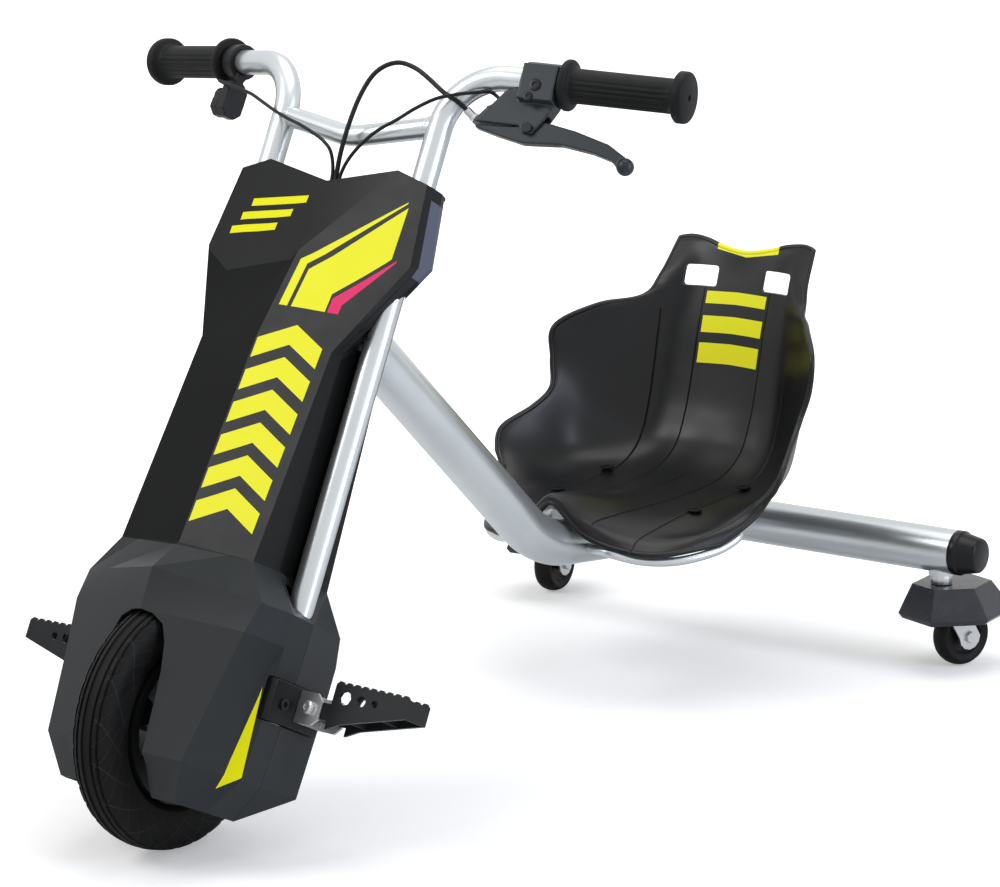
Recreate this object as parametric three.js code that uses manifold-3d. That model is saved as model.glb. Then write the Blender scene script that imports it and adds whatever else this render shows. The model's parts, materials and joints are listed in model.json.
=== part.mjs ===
// Electric drift trike: millimetres, +Z up, front toward -Y, the rider's left is +X.
// Everything that turns with the bars is drawn in the steering frame: its origin is the front
// wheel's contact point, its z runs up along the raked steering axis and its y points rearward.
import * as THREE from 'three';
import Module from 'manifold-3d';
import { mergeVertices } from 'three/addons/utils/BufferGeometryUtils.js';

const wasm = await Module();
wasm.setup();

// Shared values
const deg = Math.PI / 180;
const gap = 0.3;
const overrun = 2;
const weld = 1.5;
const weldTolerance = 0.001;
const sides = { wheel: 40, fine: 20, round: 12, small: 10, wire: 8, hex: 6, square: 4 };

// Driving sizes of the whole trike
const rake = 26.8 * deg;
const frontTyre = { radius: 122, width: 44, beadRadius: 76.3, grooveDepth: 2.2, grooveWidth: 3.4 };
const leg = { spread: 99, ahead: 38.8, radius: 12.7, bottom: 125, boreRadius: 13.7 };
const bar = {
  height: 785, bendRadius: 60, sweep: 13.2 * deg, rise: 2.6 * deg, toGrip: 115.5,
  endRadius: 11.1, taper: 6,
};
const crossbar = { radius: 10.6, endHeight: 729, middleHeight: 709, middleAhead: 47, bendRadius: 70 };
const rear = {
  tubeRadius: 25.4, axleY: 972, height: 137.5, halfWidth: 300, bendRadius: 150, seatY: 650, seatZ: 172,
  joinHeight: 554, mainSlope: 0.904,
};

// Grips
const grip = {
  length: 128, radius: 17, flangeRadius: 25, flangeWidth: 9, endWidth: 12, ringRadius: 21.5,
  endCap: 6, ribs: 6, ribDepth: 1.2,
};

// Welded plates of the fork
const bridge = { depth: 32, thickness: 8, lowerTop: 514, upperTop: 634, boltRadius: 6 };
const motorPlate = { halfWidth: 88, front: 96, back: 8, bottom: 236.5, thickness: 4, slotWidth: 16, slotHalf: 27 };
const dropout = { inner: 82, outer: 88, bottom: 90, top: 168, front: 74, back: 27 };

// Steering head
const head = { tubeRadius: 19, boreRadius: 15, cupRadius: 19, cupHeight: 7.7, boltHead: 8, hexRadius: 11 };

// Front axle, wheel and drive, placed on the axle line
const axle = {
  radius: 5, half: 97, nutRadius: 9, nutWidth: 8, boreRadius: 5.4,
  y: -frontTyre.radius * Math.sin(rake), z: frontTyre.radius * Math.cos(rake),
};
const rim = { hubRadius: 14, hubHalf: 80, web: 4, bandInner: 68, bandHalf: 20, lip: 3, holes: 5, holeRadius: 17 };
const chainPitch = 6.35;
const wheelSprocket = { teeth: 44, width: 3, x: -50, tooth: 2.6, boss: 22 };
const motorSprocket = { teeth: 11, width: 3, tooth: 2.6, shaftRadius: 4, shaftDepth: 14 };
const chain = { width: 5.6, thickness: 4, clearance: 0.6 };
const motor = { radius: 33, length: 76, footHeight: 10, footWidth: 50, endBell: 3, x: 2, ahead: 60, boreRadius: 4.6 };
const drum = { radius: 34, width: 14, x: 46, wall: 4 };
const band = { clearance: 0.8, thickness: 3.2, width: 12, armWidth: 14, reach: 45.5 };
const battery = { width: 151, depth: 65, height: 94, back: -20, chamfer: 3, terminal: 7 };
const controller = { width: 92, depth: 48, height: 24, chamfer: 2, fins: 7, finDepth: 2.4 };

// Hand brake, in the bar frame: a runs outward along the bar from the grip, w hangs below it
const perch = {
  ringInner: 13, ringOuter: 19, ringWidth: 37, ringAt: -20, halfThickness: 8.5, slotHalf: 5.6,
  pivotA: -24, pivotW: 50, pivotRadius: 3, boltHead: 5.6, boltReach: 11.5,
  clampFront: 19.6, clampTop: 12, clampBottom: 24, kneeA: -67, kneeW: 30, elbowA: -56, elbowW: 15,
};
const lever = { halfThickness: 5.2, ballRadius: 8.6, ballA: 80, ballW: 74.5, pinBore: 3.4 };
const adjuster = {
  radius: 4.2, neck: 2.6, depth: 3, length: 8.5, at: -84, w: 43, nutRadius: 5.6, nutWidth: 3, armHalf: 5,
};
const adjusterLean = new THREE.Vector3(-0.684, -0.554, 0.475).normalize();

// Thumb throttle, in the bar frame of the rider's right
const throttle = {
  ringInner: 13, ringOuter: 18.5, ringAt: -11, ringWidth: 16, lobeWidth: 12, lobeAt: -16, neckHalf: 5,
  front: 11, back: 14, top: 23, bottom: 61, corner: 7, hingeY: 2, hingeZ: -38, pinRadius: 3, pinBore: 3.4,
  eyeRadius: 8.6, paddleWidth: 11.4, paddleTop: 44, paddleBack: 11, paddleBottom: 60,
};

// Cables, as routes of hand-chosen points in the steering frame
const cable = { brakeRadius: 2.4, wireRadius: 1.8, brakeSteps: 72, wireSteps: 44 };
const brakeRoute = [
  [127.6, -36.1, 746.6], [125.1, -39.3, 748.6], [122.2, -42.8, 750.8], [116, -49.3, 754.5], [104.5, -53.5, 759],
  [94, -55.5, 765], [84.7, -57.5, 770.7], [65.8, -60.4, 780], [48.7, -65, 782.7], [36, -69, 777], [26, -71, 766],
  [18, -71.5, 744], [13, -70, 713.3], [9, -65, 684], [5.2, -57.5, 664], [5, -56.4, 650], [5, -58.4, 638],
  [5, -60.3, 625], [5, -61.6, 612], [5, -64.5, 592], [5, -68, 566], [5, -71, 540], [5, -69, 515], [5, -58, 493],
  [5, -38, 483], [6, -20, 472], [8, -11, 450], [8, -9, 415], [8, -9, 375], [8, -9, 335], [11, -6, 295],
  [19, -1, 262], [30, 1, 236], [38, 2, 208], [46, 0, 172], [54, -6, 142], [57, -12, 117],
];
const switchRoute = [
  [152.7, -28.3, 765.1], [147.6, -29.4, 768.5], [143.4, -34.5, 770], [133, -45, 764.5], [121, -55, 758],
  [104, -62.5, 749.5], [86, -67.5, 736], [70.7, -69, 723.8], [46.6, -69, 707.9], [30, -68, 690.5],
  [16, -61.5, 676], [10.2, -57.5, 664], [9.8, -56, 650], [9.8, -57.5, 636], [9.8, -59.5, 623], [9.8, -61.5, 606],
  [12, -65, 580], [16, -68, 550], [19, -68, 520], [20, -65, 490], [20, -62, 465], [20, -62, 441.5],
];
const throttleRoute = [
  [-202.1, -26.2, 761.6], [-203.1, -31, 761.6], [-201.5, -36, 760.8], [-196, -39.5, 759.3], [-186, -42.5, 756.8],
  [-172, -45.5, 753], [-154, -48, 748.3], [-140.4, -49, 744.3], [-124.5, -51.5, 737.7], [-98.8, -58, 727],
  [-74, -62, 717.9], [-51.9, -66, 711], [-28.3, -68, 702.1], [-14.5, -68, 695.6], [-5, -66, 688], [-1, -62, 678],
  [0.2, -57.5, 665], [0.2, -56.5, 650], [0.2, -58, 638], [0.2, -60, 625], [0.2, -62, 608], [-2, -65, 585],
  [-8, -69, 552], [-16, -68, 520], [-20, -64, 490], [-20, -62, 465], [-20, -62, 441.5],
];

// Foot pegs, in the steering frame; one side is drawn and mirrored
const pegBlock = { inner: 112.1, outer: 121, front: 72, back: -12, bottom: 130, top: 170, chamfer: 3 };
const clevis = { base: 3, front: 31, back: -10, wall: 2.6, bottom: 137, top: 168, reach: 149, cutBack: 9 };
const peg = {
  pinX: 135, pinZ: 153, pinRadius: 4, pinBore: 4.4, eyeRadius: 9, neckHalf: 8, plateFrom: 22, length: 109,
  innerTop: 31, outerTop: 30, innerBottom: 16.5, kneeAt: 38, kneeBottom: 9, tipBottom: 8.6, plate: 3.4,
  teeth: 9, toothHeight: 3.2, holeRadii: [7, 5.5, 4], holeAt: [36, 55, 71], holeHeight: 16, web: 3,
};
const pegWebs = [{ at: 45, low: -6, high: 10 }, { at: 80, low: 2.5, high: 14 }];
const toothShares = { low: 0.35, high: 0.65 };
const pegPin = { headRadius: 7, headWidth: 3, tail: 4 };

// Shroud of two half shells, in the steering frame. Rows go up the shell and each holds the half
// ring of the outer skin: ridge, quarter, front corner, scoop, side corner and seam edge.
const shell = { wall: 3, column: 6.4, recess: 3.4, seamGap: 0.4, topWall: 3, shelf: 4, shelfTop: 322 };
const ridge = { bottom: 105, nose: 145, top: 146, foot: 120, waist: 98, shoulder: 74.5, crown: 63 };
const level = {
  bottom: 33, crease: 70, belly: 150, flank: 200, crest: 231, noseTop: 240, foot: 268, footSeam: 253,
  waist: 482, shoulder: 580, crown: 664.5, notch: 657, peak: 675, rearTop: 498,
};
const half = { bottom: 92, crease: 112, belly: 117, seam: 119, column: 84, shoulder: 128.5, crown: 117.6, peak: 81 };
const corner = { crease: 85, belly: 98, flank: 107, crest: 110 };
const cornerAhead = { crease: 127, belly: 121, flank: 118, crest: 109, foot: 106.5, waist: 81, shoulder: 59.6, crown: 56 };
const scoop = { depth: 12, ahead: 79, edgeAhead: 68 };
const headBack = { shoulder: 5, crown: 17, shoulderSide: 27, crownSide: 30 };
const rearBack = { bottom: -12, crease: -17.5, belly: -21, crest: -15, foot: -11, top: 3 };
const arch = { top: 199, neck: 190, shoulder: 174, middle: 148, neckHalf: 26, shoulderHalf: 33, middleHalf: 38, footHalf: 44 };
const wheelRoom = { radius: 130, half: 40 };
const cableMouth = { half: 22, lip: 3.4, back: 42 };

// Small fittings on the back of the shroud
const bezel = { width: 26, height: 34, flange: 2.4, neckWidth: 20, neckHeight: 28, neck: 9, z: 420, x: 40 };
const rocker = { width: 15, height: 22, depth: 6, lift: 2.4, pinRadius: 1.6 };
const socket = { radius: 12, neckRadius: 9, flange: 2.4, neck: 9, hole: 3.5 };

// Seat, as a skin through a net of points written as shares of its half width, depth and height
const seat = {
  halfWidth: 188, front: 600, depth: 397, bottom: 160, height: 304, thickness: 5,
  slotHeight: 24, slotX: 52, slotWidth: 42, slotHeightShare: 0.857,
};
const seatNetShares = [
  [[0, .015, .211], [.2, .033, .107], [.4, .063, .062], [.63, .113, .05], [.84, .264, .064]],
  [[0, .03, .237], [.2, .055, .153], [.4, .1, .097], [.65, .171, .085], [.893, .315, .107]],
  [[0, .151, .217], [.21, .171, .151], [.43, .201, .112], [.68, .264, .099], [.953, .382, .173]],
  [[0, .327, .171], [.21, .34, .141], [.45, .358, .128], [.71, .39, .132], [1.006, .401, .244]],
  [[0, .504, .148], [.21, .511, .138], [.46, .519, .135], [.745, .519, .158], [1.013, .438, .321]],
  [[0, .68, .158], [.22, .68, .155], [.48, .675, .158], [.755, .63, .217], [.933, .542, .383]],
  [[0, .793, .224], [.22, .791, .224], [.47, .776, .237], [.734, .695, .336], [.896, .607, .447]],
  [[0, .851, .345], [.22, .846, .349], [.46, .826, .368], [.71, .735, .455], [.928, .63, .553]],
  [[0, .887, .493], [.21, .882, .5], [.45, .856, .513], [.68, .771, .582], [.927, .642, .675]],
  [[0, .917, .658], [.21, .912, .661], [.415, .892, .671], [.596, .831, .711], [.756, .744, .749]],
  [[0, .945, .789], [.19, .942, .789], [.34, .932, .796], [.468, .902, .812], [.58, .867, .785]],
  [[0, .967, .882], [.17, .967, .888], [.298, .962, .895], [.414, .942, .898], [.522, .916, .863]],
  [[0, .982, .954], [.16, .987, .967], [.287, .992, .99], [.4, .995, 1], [.485, .986, .993]],
];
const seatGrid = { along: 17, across: 14 };
const seatBolt = {
  x: 94, headRadius: 8, headHeight: 2.4, shankRadius: 3.6, boreRadius: 4, rearY: 847, frontY: 749, length: 16,
};
const seatRail = { width: 26, thickness: 4, halfLength: 112 };
const seatPost = { width: 40, depth: 30 };
const hoop = { radius: 5, drop: 18, startX: 8, startY: 655, steps: 12 };
const hoopShares = [[0.05, 0.4], [0.05, 0.62], [0.05, 0.8], [0.09, 0.93], [0.15, 0.93], [0.19, 0.85]];

// Cross tube ends and casters
const cap = { length: 31, collar: 8, neckRadius: 23.4, tipRadius: 19.5, endRadius: 18, round: 2 };
const caster = {
  x: 281, restLeft: 20 * deg, restRight: -6 * deg, trail: 30, wheelRadius: 35, wheelWidth: 24,
  collarRadius: 12.5, collarTop: 109.5, collarBottom: 99.5, stemRadius: 6, padRadius: 15, padHeight: 2.4,
  forkGap: 13.6, forkPlate: 3, forkTop: 90, neckHalf: 12, earRadius: 15, axleRadius: 4, coreRadius: 23,
  boreRadius: 4.4, boltHead: 7, boltHeadWidth: 3.5,
};
const skirt = {
  topZ: 98.6, midZ: 64, rimZ: 58, wall: 3, radius: 60, long: 1.18, wide: 0.94, shift: 22,
  hexShares: { top: 0.69, mid: 1, rim: 0.9 },
};

// Paints
const paint = {
  silver: ['#c9cfd2', 0.32, 0.75], steel: ['#b9bec2', 0.3, 0.9], black: ['#17181a', 0.35, 0], satin: ['#26292c', 0.5, 0],
  rubber: ['#1b1c1e', 0.75, 0], tyre: ['#161718', 0.85, 0], dark: ['#202327', 0.45, 0.6], grey: ['#5d6468', 0.6, 0],
};

// Solids from three.js geometries
function signedVolume(positions, index) {
  let volume = 0;
  for (let i = 0; i < index.length; i += 3) {
    const [a, b, c] = [0, 1, 2].map((k) => new THREE.Vector3().fromArray(positions, index[i + k] * 3));
    volume += a.dot(b.cross(c));
  }
  return volume;
}

function solid(geometry) {
  const bare = geometry.clone();
  bare.deleteAttribute('normal');
  bare.deleteAttribute('uv');
  const merged = mergeVertices(bare, weldTolerance);
  const positions = Float32Array.from(merged.attributes.position.array);
  const index = Uint32Array.from(merged.index.array);
  if (signedVolume(positions, index) < 0) {
    for (let i = 0; i < index.length; i += 3) [index[i], index[i + 1]] = [index[i + 1], index[i]];
  }
  return new wasm.Manifold(new wasm.Mesh({ numProp: 3, vertProperties: positions, triVerts: index }));
}

function join(...parts) {
  return parts.reduce((whole, part) => whole.add(part));
}

function cut(whole, ...tools) {
  return tools.reduce((rest, tool) => rest.subtract(tool), whole);
}

function turned(geometry, axisName) {
  if (axisName === 'x') geometry.rotateZ(-Math.PI / 2);
  if (axisName === 'z') geometry.rotateX(Math.PI / 2);
  return geometry;
}

function box(x0, x1, y0, y1, z0, z1) {
  const geometry = new THREE.BoxGeometry(x1 - x0, y1 - y0, z1 - z0);
  return solid(geometry.translate((x0 + x1) / 2, (y0 + y1) / 2, (z0 + z1) / 2));
}

function rod(axisName, radius, from, to, at, count = sides.round) {
  const geometry = turned(new THREE.CylinderGeometry(radius, radius, to - from, count), axisName);
  const middle = (from + to) / 2;
  const place = { x: [middle, at[0], at[1]], y: [at[0], middle, at[1]], z: [at[0], at[1], middle] }[axisName];
  return solid(geometry.translate(...place));
}

// A revolved profile: pairs of radius and distance along the axis
function revolve(axisName, profile, at, count = sides.round) {
  const points = profile.map(([r, h]) => new THREE.Vector2(r, h));
  points.push(points[0].clone());
  const geometry = new THREE.LatheGeometry(points, count);
  if (axisName === 'x') geometry.rotateZ(-Math.PI / 2);
  if (axisName === 'z') geometry.rotateX(Math.PI / 2);
  return solid(geometry.translate(...at));
}

function ring(axisName, inner, outer, from, to, at, count = sides.round) {
  return revolve(axisName, [[inner, from], [outer, from], [outer, to], [inner, to]], at, count);
}

// An outline in a plane, made thick along the plane's normal from one value to another
function slab(plane, outline, from, to, holes = []) {
  const shape = new THREE.Shape(outline.map(([u, v]) => new THREE.Vector2(u, v)));
  for (const hole of holes) shape.holes.push(new THREE.Path(hole.map(([u, v]) => new THREE.Vector2(u, v))));
  const geometry = new THREE.ExtrudeGeometry(shape, { depth: to - from, bevelEnabled: false, steps: 1 });
  geometry.translate(0, 0, from);
  const basis = new THREE.Matrix4();
  if (plane === 'xz') basis.set(1, 0, 0, 0, 0, 0, 1, 0, 0, 1, 0, 0, 0, 0, 0, 1);
  if (plane === 'yz') basis.set(0, 0, 1, 0, 1, 0, 0, 0, 0, 1, 0, 0, 0, 0, 0, 1);
  return solid(geometry.applyMatrix4(basis));
}

// Points along an arc in a plane
function arcPoints(at, radius, from, to, steps) {
  return Array.from({ length: steps + 1 }, (_, i) => {
    const angle = from + ((to - from) * i) / steps;
    return [at[0] + radius * Math.cos(angle), at[1] + radius * Math.sin(angle)];
  });
}

// A skin over closed rings that all have the same number of points
function loft(rings) {
  const count = rings[0].length;
  const positions = rings.flat().flat();
  const index = [];
  for (let i = 0; i < rings.length - 1; i += 1) {
    for (let j = 0; j < count; j += 1) {
      const a = i * count + j;
      const b = i * count + ((j + 1) % count);
      index.push(a, b, b + count, a, b + count, a + count);
    }
  }
  const last = (rings.length - 1) * count;
  for (let j = 1; j < count - 1; j += 1) index.push(0, j + 1, j, last, last + j, last + j + 1);
  const geometry = new THREE.BufferGeometry();
  geometry.setAttribute('position', new THREE.Float32BufferAttribute(positions, 3));
  geometry.setIndex(index);
  return solid(geometry);
}

// Points along a bent tube: straights joined by arcs of one radius
function bentPath(points, bendRadius, steps) {
  const path = [points[0]];
  for (let i = 1; i < points.length - 1; i += 1) {
    const before = points[i - 1].clone().sub(points[i]).normalize();
    const after = points[i + 1].clone().sub(points[i]).normalize();
    const turn = Math.PI - before.angleTo(after);
    const reach = bendRadius * Math.tan(turn / 2);
    const inward = before.clone().add(after).normalize();
    const centre = points[i].clone().addScaledVector(inward, Math.hypot(bendRadius, reach));
    const start = points[i].clone().addScaledVector(before, reach).sub(centre);
    const axisOfTurn = start.clone().cross(points[i].clone().addScaledVector(after, reach).sub(centre)).normalize();
    for (let k = 0; k <= steps; k += 1) {
      path.push(start.clone().applyAxisAngle(axisOfTurn, (turn * k) / steps).add(centre));
    }
  }
  path.push(points[points.length - 1]);
  return path;
}

// A round tube along points; the radius may change from stop to stop
function sweep(path, radii, count) {
  const up = new THREE.Vector3();
  const rings = [];
  let side = null;
  path.forEach((point, i) => {
    const ahead = path[Math.min(i + 1, path.length - 1)].clone().sub(point).normalize();
    const behind = point.clone().sub(path[Math.max(i - 1, 0)]).normalize();
    const tangent = ahead.add(behind).normalize();
    if (!side) side = new THREE.Vector3(0, 1, 0).cross(tangent).normalize();
    side.addScaledVector(tangent, -side.dot(tangent)).normalize();
    up.crossVectors(tangent, side);
    const radius = Array.isArray(radii) ? radii[i] : radii;
    rings.push(Array.from({ length: count }, (_, k) => {
      const angle = ((k + 0.5) * 2 * Math.PI) / count;
      return point.clone().addScaledVector(side, radius * Math.cos(angle)).addScaledVector(up, radius * Math.sin(angle)).toArray();
    }));
  });
  return loft(rings);
}

function mirrored(part) {
  return part.mirror([1, 0, 0]);
}

function vector(x, y, z) {
  return new THREE.Vector3(x, y, z);
}

// Groups and meshes
const trike = new THREE.Group();
trike.name = 'drift_trike';
const steered = new THREE.Group();
steered.name = 'steered_group';
steered.rotation.x = -rake;
trike.add(steered);

const gripLine = vector(Math.cos(bar.sweep) * Math.cos(bar.rise), Math.sin(bar.sweep) * Math.cos(bar.rise), Math.sin(bar.rise));
const barCorner = vector(leg.spread, -leg.ahead, bar.height);
const gripInner = barCorner.clone().addScaledVector(gripLine, bar.toGrip);

function barGroup(side) {
  const group = new THREE.Group();
  group.name = side > 0 ? 'bar_left_group' : 'bar_right_group';
  group.position.set(side * gripInner.x, gripInner.y, gripInner.z);
  const heading = side > 0 ? bar.sweep : Math.PI - bar.sweep;
  group.rotation.set(0, -bar.rise, heading, 'ZYX');
  steered.add(group);
  return group;
}
const barLeft = barGroup(1);
const barRight = barGroup(-1);

function add(group, name, part, [colour, roughness, metalness]) {
  const mesh = part.getMesh();
  const geometry = new THREE.BufferGeometry();
  geometry.setAttribute('position', new THREE.Float32BufferAttribute(mesh.vertProperties, 3));
  geometry.setIndex(new THREE.Uint32BufferAttribute(mesh.triVerts, 1));
  const material = new THREE.MeshStandardMaterial({ color: colour, roughness, metalness });
  const node = new THREE.Mesh(geometry, material);
  node.name = name;
  group.add(node);
}

// Rear frame: head tube, bent main tube, cross tube and seat rails
function raked(part) {
  const matrix = new THREE.Matrix4().makeRotationX(-rake);
  return part.transform(matrix.elements);
}

function fromSteering(x, y, z) {
  return vector(x, y, z).applyAxisAngle(vector(1, 0, 0), -rake);
}

const headBottom = bridge.lowerTop + gap + head.cupHeight;
const headTop = bridge.upperTop - bridge.thickness - gap - head.cupHeight;
const rearSlope = (rear.seatZ - rear.height) / (rear.axleY - rear.seatY);
const mainJoin = fromSteering(0, -leg.ahead + head.tubeRadius / 2, rear.joinHeight);
const seatEnd = rear.seatZ + rearSlope * rear.seatY;
const bendY = (mainJoin.z + rear.mainSlope * mainJoin.y - seatEnd) / (rear.mainSlope - rearSlope);
const bendZ = mainJoin.z - rear.mainSlope * (bendY - mainJoin.y);

function tubeTop(y) {
  return rear.height + rearSlope * (rear.axleY - y) + rear.tubeRadius;
}

function railTop(y) {
  const heights = [0, 0.5, 0.84, 1].map((share) => seatHeight(share * seatRail.halfLength, y));
  return Math.min(...heights) - seat.thickness - weld;
}

function seatRailSolid(y) {
  const top = railTop(y);
  const rail = box(
    -seatRail.halfLength, seatRail.halfLength, y - seatRail.width / 2, y + seatRail.width / 2,
    top - seatRail.thickness, top,
  );
  const post = box(
    -seatPost.width / 2, seatPost.width / 2, y - seatPost.depth / 2, y + seatPost.depth / 2,
    tubeTop(y) - rear.tubeRadius, top - seatRail.thickness / 2,
  );
  const bores = [-seatBolt.x, seatBolt.x].map((x) => rod('z', seatBolt.boreRadius, rear.height, top + overrun, [x, y], sides.wire));
  return cut(join(rail, post), ...bores);
}

// The hoop runs out from the main tube under the seat's front lip and back to the front rail's end
function seatHoop() {
  const start = vector(hoop.startX, hoop.startY, tubeTop(hoop.startY) - rear.tubeRadius - hoop.radius);
  const under = hoopShares.map(([u, v]) => seatSurface(u, v).sub(vector(0, 0, hoop.drop)));
  const railEnd = vector(
    seatRail.halfLength - hoop.radius, seatBolt.frontY, railTop(seatBolt.frontY) - hoop.radius - gap,
  );
  const curve = new THREE.CatmullRomCurve3([start, ...under, railEnd]);
  return sweep(curve.getPoints(hoop.steps), hoop.radius, sides.hex);
}

function mainFrame() {
  const path = bentPath([
    mainJoin, vector(0, bendY, bendZ), vector(0, rear.axleY, rear.height),
  ], rear.bendRadius, sides.hex);
  const mainTube = sweep(path, rear.tubeRadius, sides.round);
  const headTube = raked(rod('z', head.tubeRadius, headBottom, headTop, [0, -leg.ahead]));
  const crossTube = rod('x', rear.tubeRadius, -rear.halfWidth, rear.halfWidth, [rear.axleY, rear.height]);
  const pads = [-caster.x, caster.x].map((x) => rod(
    'z', caster.padRadius, caster.collarTop + gap, rear.height, [x, rear.axleY],
  ));
  const stems = [-caster.x, caster.x].map((x) => rod(
    'z', caster.stemRadius + gap, 0, rear.height - rear.tubeRadius / 2, [x, rear.axleY], sides.small,
  ));
  const headBore = raked(rod('z', head.boreRadius, headBottom - overrun, headTop + overrun, [0, -leg.ahead]));
  const rails = [seatBolt.frontY, seatBolt.rearY].map(seatRailSolid);
  const side = seatHoop();
  return cut(join(mainTube, headTube, crossTube, ...pads, ...rails, side, mirrored(side)), headBore, ...stems);
}

function headCup(from) {
  return ring('z', bridge.boltRadius + gap, head.cupRadius, from, from + head.cupHeight, [0, -leg.ahead, 0]);
}

function steeringBolt() {
  const top = bridge.upperTop + gap;
  const bottom = bridge.lowerTop - bridge.thickness - gap;
  const at = [0, -leg.ahead];
  return join(
    rod('z', bridge.boltRadius, bottom - head.boltHead, top + head.boltHead, at, sides.small),
    rod('z', head.hexRadius, top, top + head.boltHead, at, sides.hex),
    rod('z', head.hexRadius, bottom - head.boltHead, bottom, at, sides.hex),
  );
}

// Fork and handlebar, one welded piece
const gripSeat = grip.length - grip.endCap - gap;

function barTube() {
  const neck = gripInner.clone().addScaledVector(gripLine, -bar.taper - gap);
  const neckEnd = gripInner.clone().addScaledVector(gripLine, -gap);
  const tip = gripInner.clone().addScaledVector(gripLine, gripSeat);
  const bend = bentPath([vector(leg.spread, -leg.ahead, leg.bottom), barCorner, neck], bar.bendRadius, sides.hex);
  const path = [...bend, neckEnd, tip];
  const radii = path.map((_, i) => (i < bend.length ? leg.radius : bar.endRadius));
  return sweep(path, radii, sides.small);
}

function bridgePlate(top) {
  return box(
    -leg.spread, leg.spread, -leg.ahead - bridge.depth / 2, -leg.ahead + bridge.depth / 2, top - bridge.thickness, top,
  );
}

function dropoutPlate() {
  return slab('yz', [
    [-dropout.front, dropout.bottom], [-dropout.front + dropout.back / 2, dropout.bottom - dropout.back / 3],
    [-dropout.back - dropout.back / 2, dropout.bottom], [-dropout.back, dropout.top - dropout.back],
    [-dropout.back, dropout.top], [-dropout.front + dropout.back, dropout.top], [-dropout.front, dropout.top - 2 * dropout.back],
  ], dropout.inner, dropout.outer);
}

function forkAndBars() {
  const tube = barTube();
  const plate = dropoutPlate();
  const middle = vector(0, -crossbar.middleAhead, crossbar.middleHeight);
  const inset = leg.spread - weld;
  const brace = sweep(bentPath([
    vector(-inset, -leg.ahead, crossbar.endHeight), middle, vector(inset, -leg.ahead, crossbar.endHeight),
  ], crossbar.bendRadius, sides.square), crossbar.radius, sides.small);
  const top = motorPlate.bottom + motorPlate.thickness;
  const shelf = box(-motorPlate.halfWidth, motorPlate.halfWidth, -motorPlate.front, -motorPlate.back, motorPlate.bottom, top);
  const slotX = wheelSprocket.x;
  const slot = box(
    slotX - motorPlate.slotWidth / 2, slotX + motorPlate.slotWidth / 2,
    -motor.ahead - motorPlate.slotHalf, -motor.ahead + motorPlate.slotHalf, motorPlate.bottom - overrun, top + overrun,
  );
  const boltBore = rod('z', bridge.boltRadius + gap, motorPlate.bottom + motor.radius, bar.height, [0, -leg.ahead], sides.small);
  const axleBore = rod('x', axle.radius + gap, -leg.spread, leg.spread, [axle.y, axle.z], sides.small);
  return cut(
    join(tube, mirrored(tube), plate, mirrored(plate), brace, bridgePlate(bridge.lowerTop), bridgePlate(bridge.upperTop), shelf),
    slot, boltBore, axleBore,
  );
}

// Shroud skin: half rings mirrored into full ones
function fullRing(halfRing) {
  const back = halfRing.filter(([x]) => x > 0).map(([x, y, z]) => [-x, y, z]).reverse();
  return [...halfRing, ...back];
}

function between(a, b, share) {
  return a.map((value, i) => value + (b[i] - value) * share);
}

const quarterShare = half.peak / half.crown;

function frontRow(ridgePoint, cornerPoint, ...rest) {
  return [ridgePoint, between(ridgePoint, cornerPoint, quarterShare), cornerPoint, ...rest];
}

const seamY = -leg.ahead;
const scoopInset = scoop.depth;
const frontRows = [
  frontRow([0, -ridge.bottom, level.bottom], [corner.crease - scoopInset, -ridge.bottom, level.bottom],
    [half.bottom - weld, -scoop.ahead, level.bottom], [half.bottom, -scoop.edgeAhead, level.bottom], [half.bottom, seamY, level.bottom]),
  frontRow([0, -ridge.nose, level.crease], [corner.crease, -cornerAhead.crease, level.crease],
    [half.crease - scoopInset, -scoop.ahead, level.crease], [half.crease, -scoop.edgeAhead, level.crease], [half.crease, seamY, level.crease]),
  frontRow([0, -ridge.nose, level.belly], [corner.belly, -cornerAhead.belly, level.belly],
    [half.belly - scoopInset, -scoop.ahead, level.belly], [half.belly, -scoop.edgeAhead, level.belly], [half.belly, seamY, level.belly]),
  frontRow([0, -ridge.nose, level.flank], [corner.flank, -cornerAhead.flank, level.flank],
    [half.belly - gap, -scoop.ahead, level.flank], [half.belly + gap, -scoop.edgeAhead, level.flank], [half.seam, seamY, level.flank]),
  frontRow([0, -ridge.top, level.noseTop], [corner.crest, -cornerAhead.crest, level.crest],
    [half.belly - weld, -scoop.ahead, level.crest], [half.belly, -scoop.edgeAhead, level.crest], [half.seam, seamY, level.crest - weld]),
  frontRow([0, -ridge.foot, level.foot + shell.wall], [half.column, -cornerAhead.foot, level.foot],
    [half.column, -scoop.ahead, level.foot], [half.column, -scoop.edgeAhead, level.foot], [half.column, seamY, level.footSeam]),
  frontRow([0, -ridge.waist, level.waist], [half.column - weld, -cornerAhead.waist, level.waist],
    [half.column - weld / 2, -(cornerAhead.waist + scoop.edgeAhead) / 2, level.waist],
    [half.column, -scoop.edgeAhead, level.waist], [half.column, seamY, level.waist + headBack.crownSide]),
  frontRow([0, -ridge.shoulder, level.shoulder], [half.shoulder, -cornerAhead.shoulder, level.shoulder],
    [half.shoulder - weld / 2, -(cornerAhead.shoulder + headBack.shoulderSide) / 2, level.shoulder + headBack.shoulder],
    [half.shoulder - weld, -headBack.shoulderSide, level.shoulder + 2 * headBack.shoulder],
    [half.crown, -headBack.shoulder, level.shoulder + 2 * headBack.shoulder]),
  [[0, -ridge.crown, level.notch], [half.peak, -ridge.crown + shell.wall, level.peak], [half.crown, -cornerAhead.crown, level.crown],
    [half.crown + weld / 2, -(cornerAhead.crown + headBack.crownSide) / 2, level.crown],
    [half.crown, -headBack.crownSide, level.crown], [half.crown - headBack.shoulder, -headBack.crown, level.crown]],
];

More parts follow.
